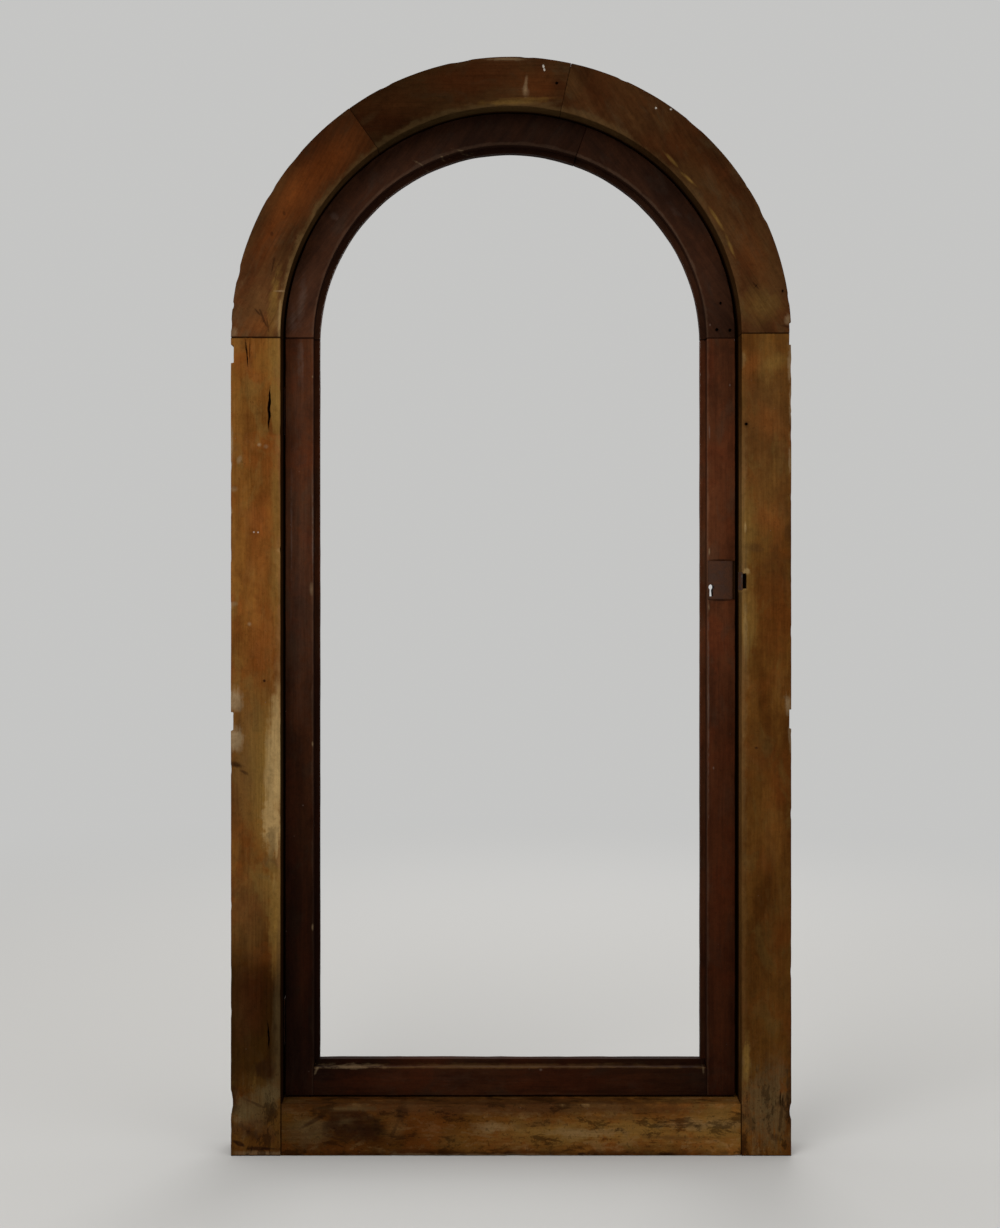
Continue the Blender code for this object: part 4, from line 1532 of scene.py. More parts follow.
        marks = (
            Mark(Tone.TAN, 0.42, 1.18, 0.1, 0.36, 0.35),
            Mark(Tone.HONEY, 0.388, 1.03, 0.026, 0.13, 0.55, 0, 1.0),
            Mark(Tone.HONEY, 0.388, 0.89, 0.026, 0.13, 0.65, 0, 1.0),
            Mark(Tone.BARE, 0.384, 0.87, 0.006, 0.1, 0.35, 0, 1.6),
            Mark(Tone.BARE, 0.384, 1.031, 0.004, 0.016, 0.6, 0, 1.0),
            Mark(Tone.BARE, 0.3845, 0.933, 0.004, 0.012, 0.6, 0, 1.0),
            Mark(Tone.BARE, 0.386, 0.959, 0.012, 0.01, 0.6, -20, 1.2, 0.6),
            Mark(Tone.BROWN, 0.398, 0.997, 0.026, 0.016, 0.5, 0, 1.2),
            Mark(Tone.AMBER, 0.424, 1.045, 0.036, 0.05, 0.38),
            Mark(Tone.AMBER, 0.422, 1.2, 0.036, 0.06, 0.22),
            Mark(Tone.AMBER, 0.398, 1.298, 0.03, 0.04, 0.38, 30),
            Mark(Tone.HONEY, 0.432, 1.3, 0.044, 0.026, 0.45, -24),
            Mark(Tone.BROWN, 0.4, 1.25, 0.05, 0.05, 0.25),
            Mark(Tone.BROWN, 0.43, 0.96, 0.05, 0.09, 0.25),
            Mark(Tone.AMBER, 0.43, 0.85, 0.04, 0.08, 0.15),
            # Painted shadow at the outer edge.
            Mark(Tone.SOOT_AND_SHADE, 0.457, 1.022, 0.014, 0.036, 0.5, 0, 1.0),
            Mark(Tone.SCUFF, 0.458, 1.3, 0.009, 0.056, 0.5, 0, 1.5, 0.5),
            Mark(Tone.SCUFF, 0.459, 1.235, 0.006, 0.06, 0.6, 0, 1.6, 0.5),
            Mark(Tone.SCUFF, 0.458, 1.14, 0.006, 0.04, 0.4, 0, 1.6, 0.5),
            Mark(Tone.SCUFF, 0.454, 0.74, 0.012, 0.03, 0.5, 0, 1.4, 0.6),
            Mark(Tone.SCUFF, 0.458, 0.69, 0.006, 0.05, 0.5, 0, 1.4, 0.6),
            Mark(Tone.AMBER, 0.43, 0.56, 0.04, 0.16, 0.12),
            Mark(Tone.BROWN, 0.41, 0.66, 0.04, 0.08, 0.25),
            Mark(Tone.HONEY, 0.386, 0.155, 0.011, 0.075, 0.75, 0, 1.2, 0.7),
            Mark(Tone.OLIVE, 0.422, 0.08, 0.08, 0.12, 0.75, 0, 1.3, 0.6),
            Mark(Tone.OLIVE, 0.435, 0.15, 0.04, 0.06, 0.15, 0, 1.2),
            Mark(Tone.SOOT_AND_SHADE, 0.456, 0.09, 0.01, 0.11, 0.65, 0, 1.4, 0.6),
            Mark(Tone.SOOT_AND_SHADE, 0.443, 0.07, 0.005, 0.06, 0.6, 8, 1.8, 0.6),
            Mark(Tone.SOOT_AND_SHADE, 0.434, 0.03, 0.02, 0.012, 0.5, 30, 1.8, 0.6),
            Mark(Tone.SOOT_AND_SHADE, 0.395, 0.05, 0.01, 0.05, 0.35, -15, 1.8, 0.8),
            Mark(Tone.SOOT_AND_SHADE, 0.402, 0.669, 0.006, 0.004, 0.7, 0, 0.3),
            Mark(Tone.SOOT_AND_SHADE, 0.3857, 1.2, 0.01, 0.012, 0.5, 0, 0.4),
        )
        # Brightness along the jamb, partly painted light and shade; the last figure is the reveal's painted
        # shade, light where the reveal faces the light.
        levels = (
            Level(0.0, 0.64, 0.0, 0.8), Level(0.08, 0.66, 0.1, 0.6), Level(0.14, 0.48, 0.2, 0.45),
            Level(0.24, 0.45, 0.2, 0.3), Level(0.36, 0.44, 0.25, 0.1), Level(0.5, 0.52, 0.28, 0.05),
            Level(0.62, 0.54, 0.4, 0.1), Level(0.72, 0.62, 0.4, 0.1), Level(0.84, 0.64, 0.6, 0.3),
            Level(0.96, 0.56, 0.8, 0.35), Level(1.1, 0.78, 0.5, 0.35), Level(1.18, 0.66, 0.25, 0.5),
            Level(1.24, 0.7, 0.1, 0.7), Level(1.35, 0.68, 0.05, 0.8),
        )
        timber.build(FRAME_WOOD.make("jamb_right", Lay(90, 0.52, 2.0), marks, levels))

    def head(self) -> None:
        """The three pieces of the round head."""
        rise = self.left_top + GAP / 2 - SPRING_Z
        left = Timber(
            "arch_left", self.body, self.slot, self.arc((180.0, -rise), (self.joint_left, GAP / 2)),
            frame_section(0.0052), 13,
            bites=(Bite(0.052, 0.014, 0.0022), Bite(0.105, 0.03, 0.002), Bite(0.02, 0.022, 0.0015),
                   Bite(0.25, 0.03, 0.0012)),
            gouges=(Gouge(0.1, 0.07, 0.03, 0.014, 0.0016), Gouge(0.055, 0.066, 0.018, 0.012, 0.0013),
                    Gouge(0.3, 0.02, 0.02, 0.01, 0.001)),
        )
        marks = (
            Mark(Tone.RUSSET, -0.352, 1.58, 0.056, 0.19, 0.62, 34, 0.8),
            Mark(Tone.AMBER, -0.362, 1.572, 0.024, 0.08, 0.12, 28, 0.9),
            Mark(Tone.RUSSET, -0.402, 1.49, 0.04, 0.08, 0.3, 20, 0.8),
            Mark(Tone.EMBER, -0.29, 1.655, 0.08, 0.12, 0.5, 44, 0.9),
            Mark(Tone.RUSSET, -0.285, 1.64, 0.044, 0.11, 0.35, 44, 0.9),
            Mark(Tone.SOOT_AND_SHADE, -0.33, 1.655, 0.04, 0.1, 0.45, 44, 1.0),
            Mark(Tone.SOOT_AND_SHADE, -0.415, 1.53, 0.03, 0.07, 0.35, 26, 1.2),
            Mark(Tone.BROWN, -0.43, 1.4, 0.04, 0.08, 0.45, 6, 1.2),
            Mark(Tone.AMBER, -0.41, 1.362, 0.05, 0.03, 0.35),
            Mark(Tone.HONEY, -0.388, 1.405, 0.016, 0.1, 0.55, 6, 1.2),
            Mark(Tone.SCUFF, -0.379, 1.418, 0.02, 0.003, 0.5, 0, 0.8),
            Mark(Tone.BARE, -0.3795, 1.375, 0.004, 0.06, 0.4, 2, 1.6),
            Mark(Tone.SCUFF, -0.4545, 1.35, 0.012, 0.014, 0.35, 0, 1.2),
            Mark(Tone.SOOT_AND_SHADE, -0.406, 1.372, 0.003, 0.03, 0.7, -22, 1.6, 0.5),
            Mark(Tone.SOOT_AND_SHADE, -0.416, 1.384, 0.003, 0.014, 0.6, -40, 1.6, 0.5),
            Mark(Tone.SOOT_AND_SHADE, -0.399, 1.362, 0.003, 0.018, 0.6, -10, 1.6, 0.5),
            Mark(Tone.SOOT_AND_SHADE, -0.3905, 1.46, 0.004, 0.03, 0.55, 12, 1.8, 0.5),
            Mark(Tone.SOOT_AND_SHADE, -0.386, 1.44, 0.003, 0.018, 0.5, 12, 1.8, 0.5),
            Mark(Tone.SOOT_AND_SHADE, -0.392, 1.512, 0.006, 0.008, 0.5, 0, 0.9, 0.5),
            Mark(Tone.SOOT_AND_SHADE, -0.372, 1.545, 0.005, 0.007, 0.5, 0, 0.9, 0.5),
        )
        # Brightness partly painted light and shade; the last figure is the reveal's painted shade.
        levels = (
            Level(-0.02, 0.52, 0.95, 1.0), Level(0.054, 0.62, 0.9, 1.0), Level(0.139, 0.36, 0.9, 0.85),
            Level(0.226, 0.32, 0.8, 0.5), Level(0.313, 0.24, 0.7, 0.25), Level(0.387, 0.2, 0.7, 0.2),
            Level(0.44, 0.2, 0.4, 0.3),
        )
        lay = Lay(62, -0.26, 3.0)
        left.build(ARCH_WOOD.make("arch_left", lay, marks, lay.set_out(levels, (-0.42, 1.343))))

        crown = Timber(
            "arch_crown", self.body, self.slot,
            self.arc((self.joint_left, -GAP / 2), (self.joint_right, GAP / 2)), frame_section(0.005), 14,
            bites=(Bite(0.07, 0.024, 0.0012), Bite(0.2, 0.04, 0.0014), Bite(0.31, 0.024, 0.0012)),
            gouges=(Gouge(0.16, 0.06, 0.03, 0.01, 0.001), Gouge(0.3, 0.03, 0.018, 0.012, 0.0012)),
        )
        crown.cutters = [hole("knothole", (0.075, 1.759), 0.0028, -HALF_DEPTH, 0.01, 0.35)]
        marks = (
            Mark(Tone.EMBER, -0.2, 1.715, 0.13, 0.06, 0.25, -30),
            Mark(Tone.EMBER, -0.08, 1.765, 0.12, 0.05, 0.4, -8),
            Mark(Tone.RUSSET, 0.04, 1.755, 0.07, 0.05, 0.2),
            Mark(Tone.BROWN, -0.01, 1.796, 0.1, 0.012, 0.35, 0, 1.4),
            Mark(Tone.SCUFF, -0.01, 1.7985, 0.06, 0.005, 0.35, 0, 1.6),
            Mark(Tone.SCUFF, 0.024, 1.757, 0.006, 0.026, 0.4, 6, 1.0),
            Mark(Tone.SCUFF, 0.023, 1.745, 0.01, 0.016, 0.25, 0, 1.2),
            Mark(Tone.HONEY, 0.01, 1.729, 0.11, 0.01, 0.35, -4, 1.4),
            Mark(Tone.PAINT, 0.053, 1.7865, 0.0034, 0.006, 0.7, -10, 0.3, 0.4),
            Mark(Tone.PAINT, 0.0545, 1.781, 0.003, 0.005, 0.6, -14, 0.3, 0.4),
            Mark(Tone.SOOT_AND_SHADE, 0.075, 1.759, 0.014, 0.014, 0.4, 0, 0.9),
            Mark(Tone.OLIVE, -0.235, 1.7, 0.04, 0.01, 0.1, -34, 1.4),
        )
        # Brightness partly painted light and shade; the last figure is the reveal's painted shade.
        levels = (
            Level(-0.26, 0.13, 1.0, 0.1), Level(-0.21, 0.13, 1.0, 0.05), Level(-0.15, 0.14, 1.0, 0.0),
            Level(-0.108, 0.16, 1.0, 0.0), Level(-0.05, 0.2, 0.9, 0.0), Level(0.0, 0.24, 0.8, 0.0),
            Level(0.06, 0.26, 0.7, 0.05), Level(0.11, 0.25, 0.7, 0.1),
        )
        crown.build(ARCH_WOOD.make("arch_crown", Lay(0, 1.66, 4.0), marks, levels))

        right = Timber(
            "arch_right", self.body, self.slot,
            self.arc((self.joint_right, -GAP / 2), (0.0, self.right_top + GAP / 2 - SPRING_Z)),
            frame_section(0.005), 15,
            bites=(Bite(0.617, 0.024, 0.003, True), Bite(0.565, 0.02, 0.0012), Bite(0.42, 0.03, 0.001),
                   Bite(0.23, 0.034, 0.001), Bite(0.09, 0.02, 0.0011)),
            gouges=(Gouge(0.52, 0.066, 0.02, 0.014, 0.0012), Gouge(0.35, 0.04, 0.016, 0.012, 0.001)),
        )
        right.cutters = [
            crack("shake", (0.402, 1.427), 0.011, 0.0012, 0.004, 40.0, 15),
            hole("pit", (0.445, 1.418), 0.0018, -HALF_DEPTH, 0.003, 0.4),
        ]
        marks = (
            Mark(Tone.PAINT, 0.2375, 1.718, 0.0034, 0.0034, 0.6, 0, 0.3, 0.4),
            Mark(Tone.PAINT, 0.262, 1.716, 0.004, 0.003, 0.6, 0, 0.3, 0.4),
            Mark(Tone.EMBER, 0.17, 1.735, 0.06, 0.11, 0.3, -66),
            Mark(Tone.RUSSET, 0.3, 1.64, 0.04, 0.12, 0.1, -46),
            Mark(Tone.RUSSET, 0.395, 1.48, 0.04, 0.11, 0.25, -20),
            Mark(Tone.HONEY, 0.41, 1.395, 0.06, 0.05, 0.3),
            Mark(Tone.HONEY, 0.292, 1.601, 0.005, 0.034, 0.55, -48, 1.2),
            Mark(Tone.HONEY, 0.336, 1.538, 0.005, 0.04, 0.55, -32, 1.2),
            Mark(Tone.HONEY, 0.36, 1.49, 0.005, 0.04, 0.5, -22, 1.2),
            Mark(Tone.HONEY, 0.262, 1.634, 0.005, 0.03, 0.45, -44, 1.2),
            Mark(Tone.SCUFF, 0.454, 1.372, 0.01, 0.016, 0.45, 0, 1.2),
            Mark(Tone.BROWN, 0.445, 1.43, 0.02, 0.06, 0.4, -10),
            Mark(Tone.SOOT_AND_SHADE, 0.401, 1.427, 0.003, 0.015, 0.8, -42, 0.6, 0.6),
            Mark(Tone.SOOT_AND_SHADE, 0.445, 1.418, 0.005, 0.007, 0.8, 0, 0.4, 0.6),
            Mark(Tone.SOOT_AND_SHADE, 0.452, 1.36, 0.02, 0.004, 0.6, 12, 1.2, 0.6),
        )
        # Brightness partly painted light and shade; the last figure is the reveal's painted shade.
        levels = (
            Level(-0.3, 0.25, 0.6, 0.1), Level(-0.246, 0.27, 0.6, 0.1), Level(-0.156, 0.32, 0.5, 0.25),
            Level(-0.052, 0.25, 0.4, 0.5), Level(0.057, 0.35, 0.35, 0.65), Level(0.164, 0.34, 0.35, 0.65),
            Level(0.231, 0.38, 0.2, 0.7), Level(0.27, 0.4, 0.2, 0.7),
        )
        lay = Lay(-57, 0.0, 5.0)
        right.build(ARCH_WOOD.make("arch_right", lay, marks, lay.set_out(levels, (0.255, 1.55))))

    def sill(self) -> None:
        """The sill board between the jambs' feet."""
        half = REVEAL_RADIUS - GAP
        front, rear, height = -HALF_DEPTH, HALF_DEPTH, self.sill_height
        section = Section(
            (
                Corner(0.0, front, 0.0026, 0.0036),
                Corner(height, front, 0.0024, 0.005),
                Corner(height, rear, 0.0016, 0.002),
                Corner(0.0, rear, 0.0018, 0.003),
            )
        )
        timber = Timber(
            "sill", self.body, self.slot,
            StraightTrack((-half, height), (1.0, 0.0), (0.0, -1.0), 2 * half), section, 16,
            gouges=(
                Gouge(0.1, 0.04, 0.06, 0.016, 0.001), Gouge(0.42, 0.055, 0.05, 0.014, 0.0009),
                Gouge(0.6, 0.025, 0.04, 0.012, 0.001), Gouge(0.27, 0.062, 0.06, 0.012, 0.0011),
            ),
            chip_rate=12.0,
        )
        marks = (
            Mark(Tone.BROWN, 0.0, 0.078, 0.76, 0.022, 0.75, 0, 1.0),
            Mark(Tone.SOOT_AND_SHADE, 0.0, 0.0845, 0.76, 0.003, 0.5, 0, 1.2),
            Mark(Tone.HONEY, 0.06, 0.04, 0.16, 0.036, 0.55, 0, 1.6),
            Mark(Tone.HONEY, 0.2, 0.042, 0.18, 0.04, 0.6, 0, 1.6),
            Mark(Tone.HONEY, 0.335, 0.05, 0.09, 0.06, 0.65, 0, 1.4),
            Mark(Tone.SCUFF, 0.12, 0.038, 0.12, 0.014, 0.25, 0, 2.0),
            Mark(Tone.SCUFF, 0.31, 0.052, 0.12, 0.018, 0.22, 0, 2.0),
            Mark(Tone.SCUFF, -0.03, 0.046, 0.06, 0.014, 0.22, 0, 2.0),
            Mark(Tone.RUSSET, -0.13, 0.046, 0.08, 0.05, 0.3),
            Mark(Tone.OLIVE, -0.33, 0.04, 0.06, 0.05, 0.45, 0, 1.5),
            Mark(Tone.TAN, -0.19, 0.045, 0.03, 0.05, 0.4, 10, 1.2),
            Mark(Tone.SOOT_AND_SHADE, -0.257, 0.05, 0.102, 0.052, 0.74, 5, 0.45, 0.22),
            Mark(Tone.SOOT_AND_SHADE, -0.236, 0.047, 0.05, 0.028, 0.4, 8, 0.7, 0.5),
            Mark(Tone.OLIVE, -0.272, 0.056, 0.034, 0.01, 0.3, -12, 1.4),
            Mark(Tone.SOOT_AND_SHADE, -0.322, 0.058, 0.06, 0.007, 0.6, -30, 1.0, 0.5),
            Mark(Tone.SOOT_AND_SHADE, -0.29, 0.03, 0.05, 0.005, 0.45, 18, 1.2, 0.5),
            Mark(Tone.SOOT_AND_SHADE, -0.179, 0.07, 0.02, 0.026, 0.6, 10, 0.9, 0.5),
            Mark(Tone.SOOT_AND_SHADE, -0.192, 0.04, 0.007, 0.034, 0.45, 20, 1.2, 0.5),
            Mark(Tone.OLIVE, -0.265, 0.078, 0.1, 0.008, 0.45, 0, 1.6),
            Mark(Tone.BROWN, 0.045, 0.052, 0.07, 0.012, 0.45, -6, 2.2),
            Mark(Tone.BROWN, 0.16, 0.062, 0.1, 0.008, 0.45, 0, 2.2),
            Mark(Tone.BROWN, 0.26, 0.03, 0.09, 0.008, 0.45, 4, 2.2),
            Mark(Tone.SOOT_AND_SHADE, 0.245, 0.055, 0.024, 0.01, 0.3, 20, 2.0),
            Mark(Tone.SOOT_AND_SHADE, -0.005, 0.003, 0.02, 0.008, 0.8, 0, 1.0, 0.5),
            Mark(Tone.SOOT_AND_SHADE, 0.115, 0.003, 0.016, 0.007, 0.8, 0, 1.0, 0.5),
            Mark(Tone.SOOT_AND_SHADE, 0.255, 0.003, 0.024, 0.006, 0.8, 0, 1.0, 0.5),
            Mark(Tone.SOOT_AND_SHADE, 0.0, 0.004, 0.76, 0.01, 0.6, 0, 1.6),
            Mark(Tone.SCUFF, -0.06, 0.0015, 0.3, 0.004, 0.3, 0, 1.8),
            Mark(Tone.SOOT_AND_SHADE, -0.2225, 0.051, 0.006, 0.004, 0.7, 0, 0.3),
        )
        levels = (
            Level(-0.38, 0.34), Level(-0.3, 0.37), Level(-0.18, 0.43), Level(-0.08, 0.53), Level(0.04, 0.66),
            Level(0.13, 0.76), Level(0.24, 0.66), Level(0.38, 0.98),
        )
        timber.build(FRAME_WOOD.make("sill", Lay(0, -0.03, 6.0), marks, levels))

    def build(self) -> None:
        """Makes every piece of the frame."""
        self.jamb_left()
        self.jamb_right()
        self.head()
        self.sill()


@dataclass
class Leaf:
    """The leaf: two stiles, a bottom rail and a round head in two pieces."""

    half: float = 0.37375
    sight: float = 0.31825
    arris: float = LEAF_ARRIS
    foot: float = 0.088
    rail_sight: float = 0.1435
    joint: float = 70.1
    crown_drop: float = 0.006
    fixed_width: float = 0.0115
    stile_sunk: float = 0.00016
    arch_sunk: float = 0.00018
    body: str = "leaf"
    slot: str = "leaf_wood"

    def arc(self, first: Point, last: Point) -> ArcTrack:
        """The line of one arch piece, whose face widens towards the crown."""
        return ArcTrack(
            (LEAF_X, LEAF_SPRING_Z), self.sight, self.half, self.half - self.sight, first, last,
            self.crown_drop, self.fixed_width,
        )

    def rail_bed(self) -> bpy.types.Object:
        """Makes the cutter for what the rail takes from the stiles.

        Returns:
            The cutter.
        """
        reach = self.arris + GAP / 2
        low = Vector((LEAF_X - reach, -0.02, self.foot - 0.01))
        return box("rail_bed", low, Vector((LEAF_X + reach, 0.06, self.rail_sight + GAP)))

    def stile(self, name: str, side: int, seed: int, cutters: list[bpy.types.Object]) -> Timber:
        """One stile.

        Args:
            name: its node.
            side: -1 on the left and 1 on the right.
            seed: chooses its damage.
            cutters: what is cut from it.

        Returns:
            The timber.
        """
        track = StraightTrack(
            (LEAF_X + side * self.sight, self.foot), (0.0, 1.0), (float(side), 0.0),
            LEAF_SPRING_Z - GAP / 2 - self.foot,
        )
        return Timber(
            name, self.body, self.slot, track, leaf_section(), seed,
            chip_rate=14.0, sunk=self.stile_sunk, end_ease=0.0005, cutters=cutters,
        )

    def stiles(self) -> None:
        """Both stiles, the right one with its lock seat and keyhole."""
        left = self.stile("leaf_hinge_stile", -1, 21, [self.rail_bed(), *hinge_seats(1)])
        marks = (
            Mark(Tone.DUST_AND_SHEEN, -0.349, 1.305, 0.012, 0.06, 0.3, 0, 1.4),
            Mark(Tone.DUST_AND_SHEEN, -0.364, 1.01, 0.003, 0.22, 0.3, 0, 1.8),
            # Painted sheen along the inner arris.
            Mark(Tone.DUST_AND_SHEEN, -0.3285, 1.02, 0.003, 0.16, 0.6, 0, 1.8, 0.6),
            Mark(Tone.SCUFF, -0.33, 0.928, 0.007, 0.026, 0.55, 0, 1.0, 0.6),
            Mark(Tone.SCUFF, -0.329, 1.282, 0.003, 0.005, 0.55, 0, 0.4, 0.5),
            Mark(Tone.SCUFF, -0.329, 0.672, 0.004, 0.01, 0.5, 0, 0.6, 0.5),
            Mark(Tone.SCUFF, -0.329, 0.368, 0.004, 0.012, 0.45, 0, 0.6, 0.5),
            Mark(Tone.DUST_AND_SHEEN, -0.345, 0.57, 0.003, 0.003, 0.5, 0, 0.3, 0.5),
            Mark(Tone.DUSK, -0.352, 0.94, 0.07, 0.42, 0.45),
            Mark(Tone.DUSK, -0.35, 1.24, 0.04, 0.2, 0.3, 0, 1.4),
            Mark(Tone.WINE, -0.342, 0.33, 0.02, 0.3, 0.15),
        )
        # Brightness partly painted shade, darker low down where the frame shades the leaf; the rebate takes
        # full painted shade.
        levels = (
            Level(0.088, 0.19, 0.3), Level(0.2, 0.15, 0.35), Level(0.35, 0.17, 0.35),
            Level(0.55, 0.3, 0.35), Level(0.68, 0.42, 0.35), Level(0.8, 0.56, 0.35),
            Level(0.95, 0.8, 0.35), Level(1.1, 0.95, 0.25),
            Level(1.2, 0.92, 0.2), Level(1.35, 0.78, 0.2),
        )
        left.build(LEAF_WOOD.make("leaf_hinge_stile", Lay(90, -0.42, 7.0), marks, levels))

        seat = box("lock_seat", Vector((0.3272, -0.02, 0.9117)), Vector((0.3693, 0.0093, 0.9763)))
        mortise = box("lock_mortise", Vector((0.36, -0.02, 0.9117)), Vector((0.4, 0.0003, 0.9763)))
        # The hole in the wood is wider than the plate's, so the plate alone gives the keyhole its edge.
        wide = Lock(head=(0.3345, 0.9325), head_radius=0.0056, slot_half=0.0046).keyhole(0.003, 0.06)
        right = self.stile("leaf_lock_stile", 1, 22, [self.rail_bed(), seat, mortise, wide])
        marks = (
            Mark(Tone.WINE, 0.35, 0.45, 0.06, 0.8, 0.55, 0, 0.6),
            Mark(Tone.WINE, 0.35, 1.06, 0.05, 0.24, 0.3, 0, 0.8),
            Mark(Tone.SOOT_AND_SHADE, 0.35, 1.33, 0.06, 0.024, 0.35),
            # The next three are painted shadow lines along the lock plate's top and bottom edges and in the
            # gap at its right.
            Mark(Tone.SOOT_AND_SHADE, 0.349, 0.9776, 0.05, 0.0036, 0.95, 0, 0.3, 0.4),
            Mark(Tone.SOOT_AND_SHADE, 0.349, 0.9104, 0.05, 0.0036, 0.95, 0, 0.3, 0.4),
            Mark(Tone.SOOT_AND_SHADE, 0.3715, 0.944, 0.004, 0.07, 0.9, 0, 0.3, 0.4),
            Mark(Tone.SCUFF, 0.33, 0.992, 0.003, 0.012, 0.55, 0, 0.8, 0.5),
            Mark(Tone.SCUFF, 0.329, 0.9, 0.004, 0.016, 0.45, 0, 1.0, 0.5),
            Mark(Tone.DUST_AND_SHEEN, 0.337, 0.632, 0.004, 0.006, 0.6, 0, 0.6, 0.5),
            Mark(Tone.DUST_AND_SHEEN, 0.364, 1.268, 0.003, 0.005, 0.6, 0, 0.3, 0.4),
            # The next two are painted sheen along the inner arris.
            Mark(Tone.DUST_AND_SHEEN, 0.33, 1.19, 0.003, 0.026, 0.5, 0, 1.0, 0.6),
            Mark(Tone.DUST_AND_SHEEN, 0.3285, 0.76, 0.0025, 0.3, 0.4, 0, 2.0, 0.6),
        )
        # Brightness partly painted light and shade, darker low down; the last figure is the rebate's painted
        # shade.
        levels = (
            Level(0.088, 0.28, 0.35, 0.6), Level(0.2, 0.37, 0.35, 0.55), Level(0.35, 0.5, 0.35, 0.5),
            Level(0.55, 0.6, 0.35, 0.45), Level(0.68, 0.72, 0.35, 0.45), Level(0.8, 1.00, 0.3, 0.45),
            Level(0.95, 1.12, 0.25, 0.45), Level(1.08, 1.25, 0.25, 0.45), Level(1.2, 1.02, 0.2, 0.5),
            Level(1.35, 0.82, 0.2, 0.6),
        )
        right.build(LEAF_WOOD.make("leaf_lock_stile", Lay(90, 0.3, 8.0), marks, levels))

    def rail(self) -> None:
        """The bottom rail."""
        length = 2 * (self.arris - GAP / 2)
        track = StraightTrack((LEAF_X - length / 2, self.rail_sight), (1.0, 0.0), (0.0, -1.0), length)
        timber = Timber(
            "leaf_rail", self.body, self.slot, track, leaf_section(), 23, chip_rate=16.0, sunk=self.stile_sunk
        )
        marks = (
            # Pale line along the inner arris: worn wood, with a painted highlight where the arris faces up to
            # the light.
            Mark(Tone.TAN, 0.0, 0.135, 0.64, 0.005, 0.6, 0, 1.2, 0.7),
            Mark(Tone.SCUFF, -0.27, 0.1345, 0.1, 0.005, 0.35, 0, 1.8, 0.6),
            Mark(Tone.SCUFF, -0.3225, 0.13, 0.004, 0.018, 0.35, 24, 1.4, 0.6),
            Mark(Tone.DUST_AND_SHEEN, 0.05, 0.131, 0.006, 0.005, 0.6, 0, 0.4, 0.5),
            Mark(Tone.SCUFF, 0.32, 0.131, 0.004, 0.016, 0.3, 0, 1.0, 0.6),
            Mark(Tone.WINE, -0.2, 0.11, 0.2, 0.04, 0.35),
            Mark(Tone.WINE, 0.1, 0.11, 0.3, 0.04, 0.3),
        )
        # Brightness partly painted shade; the rebate takes little painted shade.
        levels = (
            Level(-0.33, 0.18, 0.0, 0.1), Level(-0.24, 0.21, 0.0, 0.1), Level(-0.1, 0.44, 0.0, 0.1),
            Level(0.05, 0.33, 0.0, 0.1), Level(0.2, 0.28, 0.0, 0.1), Level(0.33, 0.2, 0.0, 0.1),
        )
        timber.build(LEAF_WOOD.make("leaf_rail", Lay(0, 0.02, 9.0), marks, levels))

    def head(self) -> None:
        """The two pieces of the leaf's round head."""
        left = Timber(
            "leaf_arch_left", self.body, self.slot, self.arc((180.0, -GAP / 2), (self.joint, GAP / 2)),
            leaf_section(), 24, chip_rate=16.0, sunk=self.arch_sunk,
            gouges=(Gouge(0.03, 0.03, 0.04, 0.014, 0.0008), Gouge(0.22, 0.036, 0.03, 0.012, 0.0008),
                    Gouge(0.46, 0.013, 0.012, 0.006, 0.0009), Gouge(0.51, 0.013, 0.01, 0.006, 0.0008)),
        )
        marks = (
            Mark(Tone.DUST_AND_SHEEN, -0.348, 1.405, 0.014, 0.08, 0.3, 6, 1.2),
            Mark(Tone.DUST_AND_SHEEN, -0.362, 1.375, 0.012, 0.05, 0.22, 0, 1.2),
            Mark(Tone.DUST_AND_SHEEN, -0.292, 1.547, 0.014, 0.01, 0.22, 30, 1.4),
            # Painted sheen along the inner arris.
            Mark(Tone.DUST_AND_SHEEN, -0.27, 1.52, 0.004, 0.05, 0.3, 40, 1.6),
            Mark(Tone.SCUFF, -0.1115, 1.646, 0.011, 0.004, 0.6, 20, 0.8, 0.5),
            Mark(Tone.BARE, -0.102, 1.649, 0.006, 0.003, 0.5, 20, 0.6, 0.5),
            Mark(Tone.SCUFF, -0.076, 1.656, 0.036, 0.003, 0.35, 12, 1.4),
            Mark(Tone.BARE, -0.064, 1.6575, 0.007, 0.0035, 0.5, 12, 0.6, 0.5),
            Mark(Tone.SCUFF, -0.145, 1.632, 0.03, 0.003, 0.35, 30, 1.6),
            # Painted shade over the leaf's crown, under the frame's head.
            Mark(Tone.SOOT_AND_SHADE, -0.02, 1.69, 0.24, 0.07, 0.25),
        )
        # Brightness partly painted light and shade, darkest at the crown; the last figure is the rebate's
        # painted shade.
        levels = (
            Level(-0.22, 1.02, 0.2, 1.0), Level(-0.12, 0.92, 0.2, 1.0), Level(-0.02, 0.56, 0.3, 0.9),
            Level(0.12, 0.52, 0.4, 0.8), Level(0.26, 0.27, 0.5, 0.7), Level(0.4, 0.22, 0.5, 0.7),
        )
        lay = Lay(52, -0.1, 10.0)
        left.build(LEAF_ARCH_WOOD.make("leaf_arch_left", lay, marks, lay.set_out(levels, (-0.3, 1.5))))

